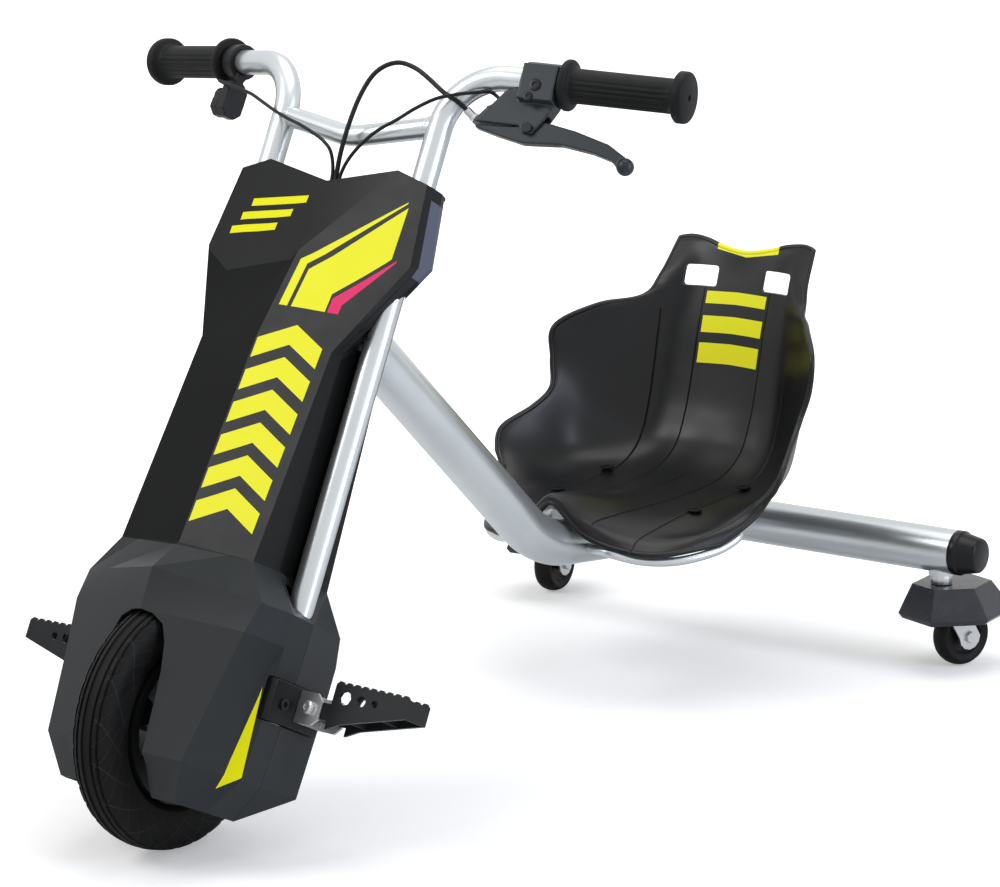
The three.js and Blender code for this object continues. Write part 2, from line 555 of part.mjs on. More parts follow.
// The same half rings drawn in by the wall, run past the open bottom and back
const columnRows = [5, 6];
const frontHollow = frontRows.map((row, i) => {
  const side = columnRows.includes(i) ? shell.column : shell.wall;
  const lift = i === 0 ? -overrun : 0;
  const drop = i === frontRows.length - 1 ? -shell.topWall : 0;
  return row.map(([x, y, z], j) => {
    const past = j === row.length - 1 ? ridge.bottom : shell.wall;
    return [Math.max(x - (x > 0 ? side : 0), 0), y + past, z + lift + drop];
  });
});

function legHoles() {
  const hole = rod('z', leg.boreRadius, level.belly, bar.height - bar.bendRadius, [leg.spread, -leg.ahead]);
  return [hole, mirrored(hole)];
}

function pegWindow() {
  const room = gap * 3;
  const hole = box(
    pegBlock.inner - room, half.seam + pegBlock.chamfer, -pegBlock.front - room, -pegBlock.back + room,
    pegBlock.bottom - room, pegBlock.top + room,
  );
  return [hole, mirrored(hole)];
}

function bridgeSlot() {
  const room = 2 * gap;
  const reach = leg.spread + leg.radius;
  return box(
    -reach, reach, seamY - bridge.depth / 2 - room, seamY + bridge.depth / 2 + room,
    bridge.lowerTop - bridge.thickness - room, bridge.lowerTop + room,
  );
}

function panelRecess() {
  const outer = half.column + overrun;
  const inner = half.column - shell.recess;
  const back = seamY + overrun;
  const recess = slab('yz', [
    [-scoop.edgeAhead + weld, level.foot + shell.wall], [back, level.footSeam + 2 * shell.wall],
    [back, level.waist + headBack.crownSide - 2 * shell.wall], [-scoop.edgeAhead + weld, level.waist - shell.wall],
  ], inner, outer);
  return [recess, mirrored(recess)];
}

function wheelArch() {
  const right = [
    [arch.footHalf, 0], [arch.footHalf, level.crease], [arch.middleHalf, arch.middle], [arch.shoulderHalf, arch.shoulder],
    [arch.neckHalf, arch.neck], [arch.neckHalf / 2, arch.top - weld],
  ];
  const left = right.map(([x, z]) => [-x, z]).reverse();
  const outline = [...right, [0, arch.top], ...left];
  return slab('xz', outline, -ridge.top - overrun, -axle.radius);
}

function frontShell() {
  const skin = cut(loft(frontRows.map(fullRing)), loft(frontHollow.map(fullRing)));
  const shelfHalf = half.column - shell.column + weld;
  const shelf = box(
    -shelfHalf, shelfHalf, -ridge.waist, seamY, shell.shelfTop - shell.shelf, shell.shelfTop,
  );
  const cableHole = box(
    -cableMouth.half, cableMouth.half, -ridge.crown + cableMouth.lip, -cableMouth.back, level.notch - 4 * shell.wall, level.peak + overrun,
  );
  return cut(join(skin, shelf), wheelArch(), cableHole, bridgeSlot(), ...legHoles(), ...pegWindow(), ...panelRecess());
}

const rearSeamY = seamY + shell.seamGap;
const rearRows = [
  [[half.bottom, rearSeamY, level.bottom], [half.crease - 2 * shell.wall, -rearBack.bottom, level.crease - 2 * shell.wall]],
  [[half.crease, rearSeamY, level.crease], [half.crease, -rearBack.crease, level.crease]],
  [[half.belly, rearSeamY, level.belly], [half.crease, -rearBack.belly, level.belly]],
  [[half.seam, rearSeamY, level.flank], [half.crease, -rearBack.belly, level.flank]],
  [[half.seam, rearSeamY, level.crest - weld], [half.crease, -rearBack.crest, level.crest - shell.wall]],
  [[half.column, rearSeamY, level.footSeam], [half.column, -rearBack.foot, level.foot]],
  [[half.column, rearSeamY, level.rearTop], [half.column, -rearBack.top, level.rearTop]],
];

function rearOutline(row, inset, from, past) {
  const [seam, edge] = row;
  const lift = past;
  return [
    [seam[0] - inset, seam[1] + from, seam[2] + lift], [edge[0] - inset, edge[1] - inset, edge[2] + lift],
    [-edge[0] + inset, edge[1] - inset, edge[2] + lift], [-seam[0] + inset, seam[1] + from, seam[2] + lift],
  ];
}

function rearFitting(part, z) {
  const share = (z - level.foot) / (level.rearTop - level.foot);
  const y = -(rearBack.foot + (rearBack.top - rearBack.foot) * share);
  const tilt = Math.atan2(rearBack.top - rearBack.foot, level.rearTop - level.foot);
  const matrix = new THREE.Matrix4().makeRotationX(tilt).setPosition(0, y, z);
  return part.transform(matrix.elements);
}

function rearShell() {
  const last = rearRows.length - 1;
  const skin = loft(rearRows.map((row) => rearOutline(row, 0, 0, 0)));
  const hollow = loft(rearRows.map((row, i) => rearOutline(
    row, shell.wall, -overrun, i === 0 ? -overrun : Number(i === last) * overrun,
  )));
  const wheel = rod('x', wheelRoom.radius, -wheelRoom.half, wheelRoom.half, [axle.y, axle.z], sides.fine);
  const switchHole = rearFitting(box(
    bezel.x - bezel.neckWidth / 2 - gap, bezel.x + bezel.neckWidth / 2 + gap, -2 * bezel.neck, bezel.neck,
    -bezel.neckHeight / 2 - gap, bezel.neckHeight / 2 + gap,
  ), bezel.z);
  const socketHole = rearFitting(rod('y', socket.neckRadius + gap, -2 * socket.neck, socket.neck, [-bezel.x, 0]), bezel.z);
  return cut(skin, hollow, wheel, switchHole, socketHole, ...legHoles(), ...pegWindow());
}

// Power switch and charging socket
function switchBezel() {
  const { width, height, flange, neckWidth, neckHeight, neck, x } = bezel;
  const body = join(
    box(x - width / 2, x + width / 2, gap, flange + gap, -height / 2, height / 2),
    box(x - neckWidth / 2, x + neckWidth / 2, -neck, gap + flange / 2, -neckHeight / 2, neckHeight / 2),
  );
  const room = box(
    x - rocker.width / 2 - 2 * gap, x + rocker.width / 2 + 2 * gap, -rocker.depth, flange + overrun,
    -rocker.height / 2 - 2 * gap, rocker.height / 2 + 2 * gap,
  );
  return rearFitting(cut(body, room), bezel.z);
}

const rockerY = bezel.flange;

function rockerSwitch() {
  const { width, height, lift } = rocker;
  const outline = [
    [rockerY + lift, -height / 2 + 2 * gap], [rockerY, 0], [rockerY + lift / 4, height / 2 - 2 * gap],
    [rockerY - lift, height / 2 - 2 * gap], [-rocker.depth + lift + 2 * gap, 0], [rockerY - lift, -height / 2 + 2 * gap],
  ];
  return rearFitting(slab('yz', outline, bezel.x - width / 2, bezel.x + width / 2), bezel.z);
}

function chargeSocket() {
  const { radius, neckRadius, flange, neck, hole } = socket;
  const body = revolve('y', [[0, -neck], [neckRadius, -neck], [neckRadius, gap], [radius, gap], [radius, flange], [0, flange]], [0, 0, 0]);
  const pins = [0, 1, 2].map((k) => rod(
    'y', hole / 2, -neck / 2, flange + overrun,
    [hole * Math.cos((k * 2 * Math.PI) / 3), hole * Math.sin((k * 2 * Math.PI) / 3)], sides.hex,
  ));
  return rearFitting(cut(body, ...pins).translate([-bezel.x, 0, 0]), bezel.z);
}

// Grips, in the bar frame
function gripSolid() {
  const { length, radius, flangeRadius, flangeWidth, endWidth, ringRadius } = grip;
  const lip = flangeWidth / 3;
  const body = revolve('x', [
    [0, gap], [ringRadius, gap], [flangeRadius, lip], [flangeRadius, flangeWidth - lip], [ringRadius, flangeWidth],
    [radius, flangeWidth + lip], [radius, length - endWidth - lip], [ringRadius, length - endWidth],
    [flangeRadius, length - endWidth + lip], [flangeRadius, length - lip], [flangeRadius - lip / 2, length], [0, length],
  ], [0, 0, 0], sides.round);
  const bore = rod('x', bar.endRadius + gap, -overrun, gripSeat + gap, [0, 0], sides.fine);
  const channels = Array.from({ length: grip.ribs }, (_, i) => {
    const angle = (-Math.PI * (i + 1)) / (grip.ribs + 1);
    return rod(
      'x', grip.ribDepth, flangeWidth + 2 * lip, length - endWidth - 2 * lip,
      [radius * Math.cos(angle), radius * Math.sin(angle)], sides.square,
    );
  });
  return cut(body, bore, ...channels);
}

// Hand brake, in the bar frame of the rider's left
function adjusterRod(radius, from, to, count) {
  const start = vector(adjuster.at, 0, -adjuster.w);
  const ends = [from, to].map((t) => start.clone().addScaledVector(adjusterLean, t));
  return sweep(ends, radius, count);
}

function leverPerch() {
  const { ringInner, ringOuter, ringWidth, ringAt, halfThickness, slotHalf, pivotA, pivotW } = perch;
  const { clampFront, clampTop, clampBottom, kneeA, kneeW, elbowA, elbowW } = perch;
  const { armHalf } = adjuster;
  const low = ringAt - ringWidth / 2;
  const high = ringAt + ringWidth / 2;
  const armTop = adjuster.w - armHalf;
  const armBottom = adjuster.w + armHalf;
  const armEnd = adjuster.at - overrun;
  const body = slab('xz', [
    [high, -ringInner / 2], [high, -clampBottom], [pivotA + ringInner, -pivotW + ringInner / 2],
    [pivotA + armHalf, -pivotW - armHalf], [pivotA - armHalf, -pivotW - armHalf],
    [pivotA - 2 * armHalf, -armBottom], [armEnd, -armBottom], [armEnd, -armTop], [kneeA, -kneeW],
    [elbowA, -elbowW], [low, -ringInner / 2],
  ], -halfThickness, halfThickness);
  const clamp = rod('x', ringOuter, low, high, [0, 0], sides.fine);
  const face = box(low, high, -clampFront, 0, -clampBottom, clampTop);
  const bore = rod('x', ringInner, low - ringOuter, high + overrun, [0, 0], sides.fine);
  const slot = box(
    pivotA - ringOuter, high + overrun, -slotHalf, slotHalf, -pivotW - ringOuter, -pivotW + ringInner + overrun,
  );
  const pin = rod('y', perch.pivotRadius + gap, -ringOuter, ringOuter, [pivotA, -pivotW], sides.small);
  const thread = adjusterRod(adjuster.neck + gap, -adjuster.depth - gap, overrun, sides.small);
  const endTrim = adjusterRod(ringOuter, 0, ringOuter, sides.small);
  return cut(join(body, clamp, face), bore, slot, pin, thread, endTrim);
}

function leverPin() {
  const reach = perch.halfThickness + gap;
  return join(
    rod('y', perch.pivotRadius, -perch.boltReach, perch.boltReach, [perch.pivotA, -perch.pivotW], sides.small),
    rod('y', perch.boltHead, reach, perch.boltReach + gap, [perch.pivotA, -perch.pivotW], sides.hex),
    rod('y', perch.boltHead, -perch.boltReach - gap, -reach, [perch.pivotA, -perch.pivotW], sides.hex),
  );
}

const bladeOutlineShares = [
  [-1, 0.667], [-0.7, 0.66], [-0.49, 0.645], [-0.35, 0.57], [-0.125, 0.545], [0.3, 0.62], [0.75, 0.745], [1, 0.893],
  [0.975, 1.1], [0.825, 0.953], [0.55, 0.877], [0.15, 0.823], [-0.35, 0.86], [-0.71, 0.785], [-1, 0.71],
];

function brakeLever() {
  const outline = bladeOutlineShares.map(([a, w]) => [a * lever.ballA, -w * lever.ballW]);
  const blade = slab('xz', outline, -lever.halfThickness, lever.halfThickness);
  const ballShape = new THREE.SphereGeometry(lever.ballRadius, sides.small, sides.wire);
  const ball = solid(ballShape.translate(lever.ballA, 0, -lever.ballW));
  const pin = rod('y', lever.pinBore, -perch.boltReach, perch.boltReach, [perch.pivotA, -perch.pivotW], sides.small);
  return cut(join(blade, ball), pin);
}

function barrelAdjuster() {
  const { radius, neck, depth, length, nutRadius, nutWidth } = adjuster;
  const end = gap + nutWidth + length;
  const body = join(
    adjusterRod(neck, -depth, end - gap, sides.small), adjusterRod(nutRadius, gap, gap + nutWidth, sides.hex),
    adjusterRod(radius, nutWidth, end, sides.small),
  );
  return cut(body, adjusterRod(cable.brakeRadius + 2 * gap, nutWidth + overrun, end + overrun, sides.small));
}

// Thumb throttle, in the bar frame of the rider's right, where y points forward
function throttleHousing() {
  const { ringInner, ringOuter, ringAt, ringWidth, lobeWidth, lobeAt, neckHalf, corner } = throttle;
  const { front, back, top, bottom, hingeY, hingeZ, pinRadius, paddleWidth } = throttle;
  const clamp = rod('x', ringOuter, ringAt - ringWidth / 2, ringAt + ringWidth / 2, [0, 0], sides.fine);
  const lobe = slab('yz', [
    [neckHalf, -ringInner], [neckHalf, -top], [front - weld, -top], [front, -top - weld], [front, -bottom + corner],
    [front - corner, -bottom], [-back + corner, -bottom], [-back, -bottom + corner], [-back, -top - corner],
    [-back + corner, -top], [-neckHalf, -top], [-neckHalf, -ringInner],
  ], lobeAt - lobeWidth / 2, lobeAt + lobeWidth / 2);
  const bore = rod('x', ringInner, ringAt - ringWidth, ringAt + ringWidth, [0, 0], sides.fine);
  const pinFrom = lobeAt + lobeWidth / 2 - weld;
  const pin = rod('x', pinRadius, pinFrom, pinFrom + weld + gap + paddleWidth, [hingeY, hingeZ], sides.small);
  return join(cut(join(clamp, lobe), bore), pin);
}

function throttlePaddle() {
  const { hingeY, hingeZ, eyeRadius, pinBore, paddleWidth, front, corner } = throttle;
  const { paddleTop, paddleBack, paddleBottom } = throttle;
  const from = throttle.lobeAt + throttle.lobeWidth / 2 + gap;
  const to = from + paddleWidth;
  const eye = rod('x', eyeRadius, from, to, [hingeY, hingeZ]);
  const tongue = slab('yz', [
    [hingeY + eyeRadius - weld, hingeZ], [front, -paddleTop], [front, -paddleBottom + corner],
    [front - corner, -paddleBottom], [-paddleBack + corner, -paddleBottom], [-paddleBack, -paddleBottom + corner],
    [-paddleBack, -paddleTop], [hingeY - eyeRadius + weld, hingeZ],
  ], from, to);
  const bore = rod('x', pinBore, from - overrun, to + overrun, [hingeY, hingeZ], sides.small);
  return cut(join(eye, tongue), bore);
}

// Cables as extruded tubes along smooth routes
function cableSolid(route, radius, steps) {
  const curve = new THREE.CatmullRomCurve3(route.map((point) => vector(...point)));
  const circle = Array.from({ length: sides.wire }, (_, k) => {
    const angle = (k * 2 * Math.PI) / sides.wire;
    return new THREE.Vector2(radius * Math.cos(angle), radius * Math.sin(angle));
  });
  return solid(new THREE.ExtrudeGeometry(new THREE.Shape(circle), { steps, extrudePath: curve, bevelEnabled: false }));
}

// Wheel, brake and drive, in the steering frame
const onAxle = [0, axle.y, axle.z];

const tyreFlankShares = [[1, 0.62], [0.78, 0.91], [0.48, 1], [0.15, 0.88]];
const tyreTreadShares = { shoulder: 0.035, rib: 0.02 };

function tyreSolid() {
  const { radius, width, beadRadius, grooveDepth, grooveWidth } = frontTyre;
  const at = (depthShare) => radius - (radius - beadRadius) * depthShare;
  const flank = tyreFlankShares.map(([depth, reach]) => [at(depth), (width / 2) * reach]);
  const tread = [
    [at(tyreTreadShares.shoulder), 3 * grooveWidth], [radius - 1.5 * grooveDepth, 2.5 * grooveWidth],
    [at(tyreTreadShares.rib), 2 * grooveWidth], [radius, grooveWidth],
  ];
  const left = [...flank, ...tread];
  const right = [...left].reverse();
  return revolve('x', [...left.map(([r, x]) => [r, -x]), ...right], onAxle, sides.wheel);
}

function rimSolid() {
  const { hubRadius, hubHalf, web, bandInner, bandHalf, lip, holes, holeRadius } = rim;
  const outer = frontTyre.beadRadius - gap;
  const body = revolve('x', [
    [axle.boreRadius, -hubHalf], [hubRadius, -hubHalf], [hubRadius, -web], [bandInner, -web], [bandInner, -bandHalf],
    [outer, -bandHalf], [outer, bandHalf], [bandInner, bandHalf], [bandInner, web], [hubRadius, web], [hubRadius, hubHalf],
    [axle.boreRadius, hubHalf],
  ], onAxle, 2 * sides.round);
  const middle = (hubRadius + bandInner) / 2 + lip;
  const windows = Array.from({ length: holes }, (_, i) => {
    const angle = (i * 2 * Math.PI) / holes;
    const at = [axle.y + middle * Math.cos(angle), axle.z + middle * Math.sin(angle)];
    return rod('x', holeRadius, -2 * web, 2 * web, at, sides.wire);
  });
  return cut(body, ...windows);
}

function pitchRadius(teeth) {
  return chainPitch / (2 * Math.sin(Math.PI / teeth));
}

function sprocketOutline(teeth, tooth, at) {
  const points = [];
  for (let i = 0; i < teeth; i += 1) {
    [[0, tooth / 2], [0.5, -tooth / 2]].forEach(([share, height]) => {
      const angle = ((i + share) * 2 * Math.PI) / teeth;
      const radius = pitchRadius(teeth) + height;
      points.push([at[0] + radius * Math.cos(angle), at[1] + radius * Math.sin(angle)]);
    });
  }
  return points;
}

function circleOutline(radius, at, count) {
  return Array.from({ length: count }, (_, i) => {
    const angle = (i * 2 * Math.PI) / count;
    return [at[0] + radius * Math.cos(angle), at[1] + radius * Math.sin(angle)];
  });
}

const axleAt = [axle.y, axle.z];
const motorAt = [-motor.ahead, motorPlate.bottom + motorPlate.thickness + gap + motor.radius + shell.wall];

function wheelSprocketSolid() {
  const { teeth, tooth, width, x, boss } = wheelSprocket;
  const plate = slab('yz', sprocketOutline(teeth, tooth, axleAt), x - width / 2, x + width / 2, [
    circleOutline(rim.hubRadius + gap, axleAt, sides.fine),
  ]);
  return join(plate, ring('x', rim.hubRadius + gap, boss, x - width / 2, x + 2 * width, onAxle, sides.fine));
}

function motorSprocketSolid() {
  const { teeth, tooth, width, shaftRadius, shaftDepth } = motorSprocket;
  const x = wheelSprocket.x;
  const plate = slab('yz', sprocketOutline(teeth, tooth, motorAt), x - width / 2, x + width / 2);
  const motorFace = motor.x - motor.length / 2;
  return join(plate, rod('x', shaftRadius, x - width, motorFace + shaftDepth - gap, motorAt, sides.small));
}

// The chain's band runs round both sprockets, clear of their teeth
function chainOutline(offset) {
  const small = pitchRadius(motorSprocket.teeth) + motorSprocket.tooth / 2 + offset;
  const large = pitchRadius(wheelSprocket.teeth) + wheelSprocket.tooth / 2 + offset;
  const dy = motorAt[0] - axleAt[0];
  const dz = motorAt[1] - axleAt[1];
  const distance = Math.hypot(dy, dz);
  const along = Math.atan2(dz, dy);
  const lean = Math.acos((large - small) / distance);
  return [
    ...arcPoints(motorAt, small, along - lean, along + lean, sides.small),
    ...arcPoints(axleAt, large, along + lean, along - lean + 2 * Math.PI, 2 * sides.round),
  ];
}

function chainSolid() {
  const inner = chain.clearance;
  const x = wheelSprocket.x;
  return slab('yz', chainOutline(inner + chain.thickness), x - chain.width / 2, x + chain.width / 2, [chainOutline(inner)]);
}

function motorSolid() {
  const { radius, length, footWidth, endBell, x, boreRadius } = motor;
  const left = x - length / 2;
  const body = revolve('x', [
    [0, left], [radius - endBell, left], [radius, left + endBell], [radius, left + length - endBell],
    [radius - endBell, left + length], [0, left + length],
  ], [0, ...motorAt], sides.round);
  const base = motorPlate.bottom + motorPlate.thickness + gap;
  const foot = box(left + 3 * endBell, left + length - 3 * endBell, -motor.ahead - footWidth / 2, -motor.ahead + footWidth / 2, base, base + motor.footHeight);
  const bore = rod('x', boreRadius, left - overrun, left + motorSprocket.shaftDepth, motorAt, sides.small);
  return cut(join(body, foot), bore);
}

function axleSolid() {
  const nutFrom = dropout.outer + gap;
  return join(
    rod('x', axle.radius, -axle.half, axle.half, axleAt, sides.small),
    rod('x', axle.nutRadius, nutFrom, nutFrom + axle.nutWidth, axleAt, sides.hex),
    rod('x', axle.nutRadius, -nutFrom - axle.nutWidth, -nutFrom, axleAt, sides.hex),
  );
}

function brakeDrum() {
  const { radius, width, x, wall } = drum;
  const inner = rim.hubRadius + gap;
  return revolve('x', [
    [inner, x - width / 2], [radius, x - width / 2], [radius, x + width / 2], [radius - wall, x + width / 2],
    [radius - wall, x - width / 2 + wall], [inner, x - width / 2 + wall],
  ], onAxle, sides.fine);
}

function bandBrake() {
  const inner = drum.radius + band.clearance;
  const outer = inner + band.thickness;
  const hoop = ring('x', inner, outer, drum.x - band.width / 2, drum.x + band.width / 2, onAxle, sides.fine);
  const arm = box(
    drum.x - band.width / 2, dropout.inner - gap, axle.y + inner + band.thickness / 3, axle.y + band.reach,
    axle.z - band.armWidth / 2, axle.z + band.armWidth / 2,
  );
  return join(hoop, arm);
}

function chamferedBlock(width, depth, height, chamfer, back, base) {
  const w = width / 2;
  const outline = [
    [-w + chamfer, back - depth], [w - chamfer, back - depth], [w, back - depth + chamfer], [w, back - chamfer],
    [w - chamfer, back], [-w + chamfer, back], [-w, back - chamfer], [-w, back - depth + chamfer],
  ];
  return slab('xy', outline, base, base + height);
}

const batteryBase = shell.shelfTop + gap;

function batterySolid() {
  const { width, depth, height, back, chamfer, terminal } = battery;
  const top = batteryBase + height;
  const tab = (x) => box(x - terminal, x + terminal, back - 2 * terminal, back - terminal, top - chamfer, top + terminal);
  const reach = width / 2 - 2 * terminal;
  return join(chamferedBlock(width, depth, height, chamfer, back, batteryBase), tab(-reach), tab(reach));
}

function controllerSolid() {
  const { width, depth, height, chamfer, fins, finDepth } = controller;
  const base = batteryBase + battery.height + gap;
  const back = battery.back - controller.depth / 4;
  const block = chamferedBlock(width, depth, height, chamfer, back, base);
  const pitch = width / (fins + 1);
  const cuts = Array.from({ length: fins }, (_, i) => {
    const x = -width / 2 + (i + 1) * pitch;
    return box(x - pitch / 4, x + pitch / 4, back - depth - overrun, back + overrun, base + height - finDepth, base + height + overrun);
  });
  return cut(block, ...cuts);
}

// Foot pegs on the rider's left; the right side is mirrored
function pegBlockSolid() {
  const { inner, outer, front, back, bottom, top, chamfer } = pegBlock;
  return slab('xy', [
    [inner, -front], [outer - chamfer, -front], [outer, -front + chamfer], [outer, -back - chamfer],
    [outer - chamfer, -back], [inner, -back],
  ], bottom, top);
}

function clevisSolid() {
  const { base, front, back, wall, bottom, top, reach, cutBack } = clevis;
  const left = pegBlock.outer + gap;
  const body = box(left, reach, -front, -back, bottom, top);
  const room = box(left + base, reach + overrun, -front + wall, -back - wall, bottom - overrun, top + overrun);
  const pin = rod('y', peg.pinRadius + gap, -front - overrun, -back + overrun, [peg.pinX, peg.pinZ], sides.small);
  const trim = slab('xz', [
    [reach - cutBack, top + overrun], [reach + overrun, top + overrun], [reach + overrun, top - cutBack],
  ], -front - overrun, -back + overrun);
  const trimLow = slab('xz', [
    [reach - cutBack, bottom - overrun], [reach + overrun, bottom - overrun], [reach + overrun, bottom + cutBack],
  ], -front - overrun, -back + overrun);
  return cut(body, room, pin, trim, trimLow);
}

function pegPinSolid() {
  const { front, back } = clevis;
  const { headRadius, headWidth, tail } = pegPin;
  const at = [peg.pinX, peg.pinZ];
  return join(
    rod('y', peg.pinRadius, -front - headWidth, -back + tail, at, sides.small),
    rod('y', headRadius, -front - headWidth - gap, -front - gap, at, sides.small),
    rod('y', headRadius, -back + gap, -back + gap + headWidth, at, sides.small),
  );
}

function pegPlateOutline() {
  const { pinX, pinZ, eyeRadius, neckHalf, plateFrom, length, innerTop, outerTop, teeth, toothHeight } = peg;
  const neckAngle = Math.asin(neckHalf / eyeRadius);
  const eye = arcPoints([0, 0], eyeRadius, neckAngle, 2 * Math.PI - neckAngle, sides.hex);
  const pitch = (length - plateFrom) / teeth;
  const comb = [];
  for (let i = teeth - 1; i >= 0; i -= 1) {
    const x = plateFrom + i * pitch;
    const z = innerTop + ((outerTop - innerTop) * i) / teeth;
    comb.push([x + pitch, z - toothHeight], [x + pitch * toothShares.high, z], [x + pitch * toothShares.low, z]);
  }
  const outline = [
    ...eye, [plateFrom, -neckHalf], [plateFrom, -peg.innerBottom], [peg.kneeAt, -peg.kneeBottom],
    [length, peg.tipBottom], ...comb, [plateFrom, innerTop - toothHeight], [plateFrom, neckHalf],
  ];
  return outline.map(([x, z]) => [pinX + x, pinZ + z]);
}

function footPeg() {
  const { front, back, wall } = clevis;
  const { plate, web, pinX, pinZ, length, holeAt, holeHeight, holeRadii, tipBottom, outerTop, toothHeight } = peg;
  const near = -front + wall + 2 * gap;
  const far = -back - wall - 2 * gap;
  const outline = pegPlateOutline();
  const plates = [slab('xz', outline, near, near + plate), slab('xz', outline, far - plate, far)];
  const webs = pegWebs.map(({ at, low, high }) => box(
    pinX + at - web / 2, pinX + at + web / 2, near + weld, far - weld, pinZ + low, pinZ + high,
  ));
  const tip = box(
    pinX + length - web, pinX + length, near + weld, far - weld, pinZ + tipBottom, pinZ + outerTop - toothHeight,
  );
  const hub = ring('y', peg.pinBore, peg.eyeRadius - gap, near + weld, far - weld, [pinX, 0, pinZ], sides.small);
  const holes = holeAt.map((x, i) => rod(
    'y', holeRadii[i], near - overrun, far + overrun, [pinX + x, pinZ + holeHeight], sides.wire,
  ));
  const bore = rod('y', peg.pinBore, near - overrun, far + overrun, [pinX, pinZ], sides.small);
  return cut(join(...plates, ...webs, tip, hub), ...holes, bore);
}

// Seat skin from its net of shares
function seatPoint(row, column, side) {
  const [x, y, z] = seatNetShares[row][column];
  return vector(side * x * seat.halfWidth, seat.front + y * seat.depth, seat.bottom + z * seat.height);
}

function splinePoint(points, t) {
  const last = points.length - 1;
  const place = Math.min(Math.max(t * last, 0), last);
  const i = Math.min(Math.floor(place), last - 1);
  const s = place - i;
  const [a, b, c, d] = [i - 1, i, i + 1, i + 2].map((k) => {
    if (k < 0) return points[0].clone().multiplyScalar(2).sub(points[1]);
    if (k > last) return points[last].clone().multiplyScalar(2).sub(points[last - 1]);
    return points[k];
  });
  const blend = (p, q, r, u) => 0.5 * (2 * q + (r - p) * s + (2 * p - 5 * q + 4 * r - u) * s * s + (3 * q - p - 3 * r + u) * s * s * s);
  return vector(blend(a.x, b.x, c.x, d.x), blend(a.y, b.y, c.y, d.y), blend(a.z, b.z, c.z, d.z));
}

function seatSurface(u, v) {
  const side = Math.sign(v) || 1;
  const columns = seatNetShares[0].length - 1;
  const widths = Array.from({ length: 2 * columns + 1 }, (_, j) => {
    const k = Math.abs(j - columns);
    const sign = j < columns ? -side : side;
    return splinePoint(seatNetShares.map((_, row) => seatPoint(row, k, sign)), u);
  });
  return splinePoint(widths, 0.5 + Math.abs(v) / 2);
}

function seatShell() {
  const { along, across } = seatGrid;
  const top = [];
  for (let i = 0; i <= along; i += 1) {
    for (let j = 0; j <= across; j += 1) top.push(seatSurface(i / along, (2 * j) / across - 1));
  }
  const at = (i, j) => top[Math.min(Math.max(i, 0), along) * (across + 1) + Math.min(Math.max(j, 0), across)];
  const under = top.map((point, k) => {
    const i = Math.floor(k / (across + 1));
    const j = k % (across + 1);
    const forward = at(i + 1, j).clone().sub(at(i - 1, j));
    const outward = at(i, j + 1).clone().sub(at(i, j - 1));
    return point.clone().addScaledVector(outward.cross(forward).normalize(), -seat.thickness);
  });
  const count = top.length;
  const index = [];
  const quad = (a, b, c, d) => index.push(a, b, c, a, c, d);
  const id = (i, j) => i * (across + 1) + j;
  for (let i = 0; i < along; i += 1) {
    for (let j = 0; j < across; j += 1) {
      quad(id(i, j), id(i, j + 1), id(i + 1, j + 1), id(i + 1, j));
      quad(count + id(i, j), count + id(i + 1, j), count + id(i + 1, j + 1), count + id(i, j + 1));
    }
  }
  for (let i = 0; i < along; i += 1) {
    quad(id(i, 0), id(i + 1, 0), count + id(i + 1, 0), count + id(i, 0));
    quad(id(i + 1, across), id(i, across), count + id(i, across), count + id(i + 1, across));
  }
  for (let j = 0; j < across; j += 1) {
    quad(id(0, j + 1), id(0, j), count + id(0, j), count + id(0, j + 1));
    quad(id(along, j), id(along, j + 1), count + id(along, j + 1), count + id(along, j));
  }
  const geometry = new THREE.BufferGeometry();
  geometry.setAttribute('position', new THREE.Float32BufferAttribute([...top, ...under].flatMap((p) => p.toArray()), 3));
  geometry.setIndex(index);
  const slotZ = seat.bottom + seat.slotHeightShare * seat.height;
  const slots = [-1, 1].map((side) => box(
    side * seat.slotX - seat.slotWidth / 2, side * seat.slotX + seat.slotWidth / 2,
    seat.front + seat.depth / 2, seat.front + 2 * seat.depth, slotZ - seat.slotHeight / 2, slotZ + seat.slotHeight / 2,
  ));
  const bores = [seatBolt.frontY, seatBolt.rearY].flatMap((y) => [-seatBolt.x, seatBolt.x].map((x) => rod(
    'z', seatBolt.boreRadius, seat.bottom, seat.bottom + seat.height, [x, y], sides.wire,
  )));
  return cut(solid(geometry), ...slots, ...bores);
}

function seatHeight(x, y) {
  let low = 0;
  let high = 0.8;
  for (let k = 0; k < 40; k += 1) {
    const u = (low + high) / 2;
    if (seatAt(x, u).y > y) high = u;
    else low = u;
  }
  return seatAt(x, (low + high) / 2).z;
}

function seatAt(x, u) {
  let low = 0;
  let high = 1;
  for (let k = 0; k < 40; k += 1) {
    const v = (low + high) / 2;
    if (seatSurface(u, v).x > x) high = v;
    else low = v;
  }
  return seatSurface(u, (low + high) / 2);
}

// A seat bolt with a spacer foot that reaches down to the rail
function seatBoltSolid(x, y) {
  const { headRadius, headHeight, shankRadius, length } = seatBolt;
  const corners = [-1, 1].flatMap((u) => [-1, 1].map((v) => seatHeight(Math.abs(x) + u * headRadius, y + v * headRadius)));
  const top = Math.max(...corners) + 3 * gap;
  return join(
    rod('z', headRadius, top, top + headHeight, [x, y], sides.small),
    rod('z', shankRadius, railTop(y) - length, top + weld, [x, y], sides.small),
  );
}

// Cross tube end caps
function endCap() {
  const { length, collar, neckRadius, tipRadius, endRadius, round } = cap;
  const start = rear.halfWidth + gap;
  return revolve('x', [
    [0, start], [rear.tubeRadius, start], [rear.tubeRadius, start + collar], [neckRadius, start + collar + round],
    [tipRadius, start + length - round], [endRadius, start + length], [0, start + length],
  ], [0, rear.axleY, rear.height], sides.round);
}

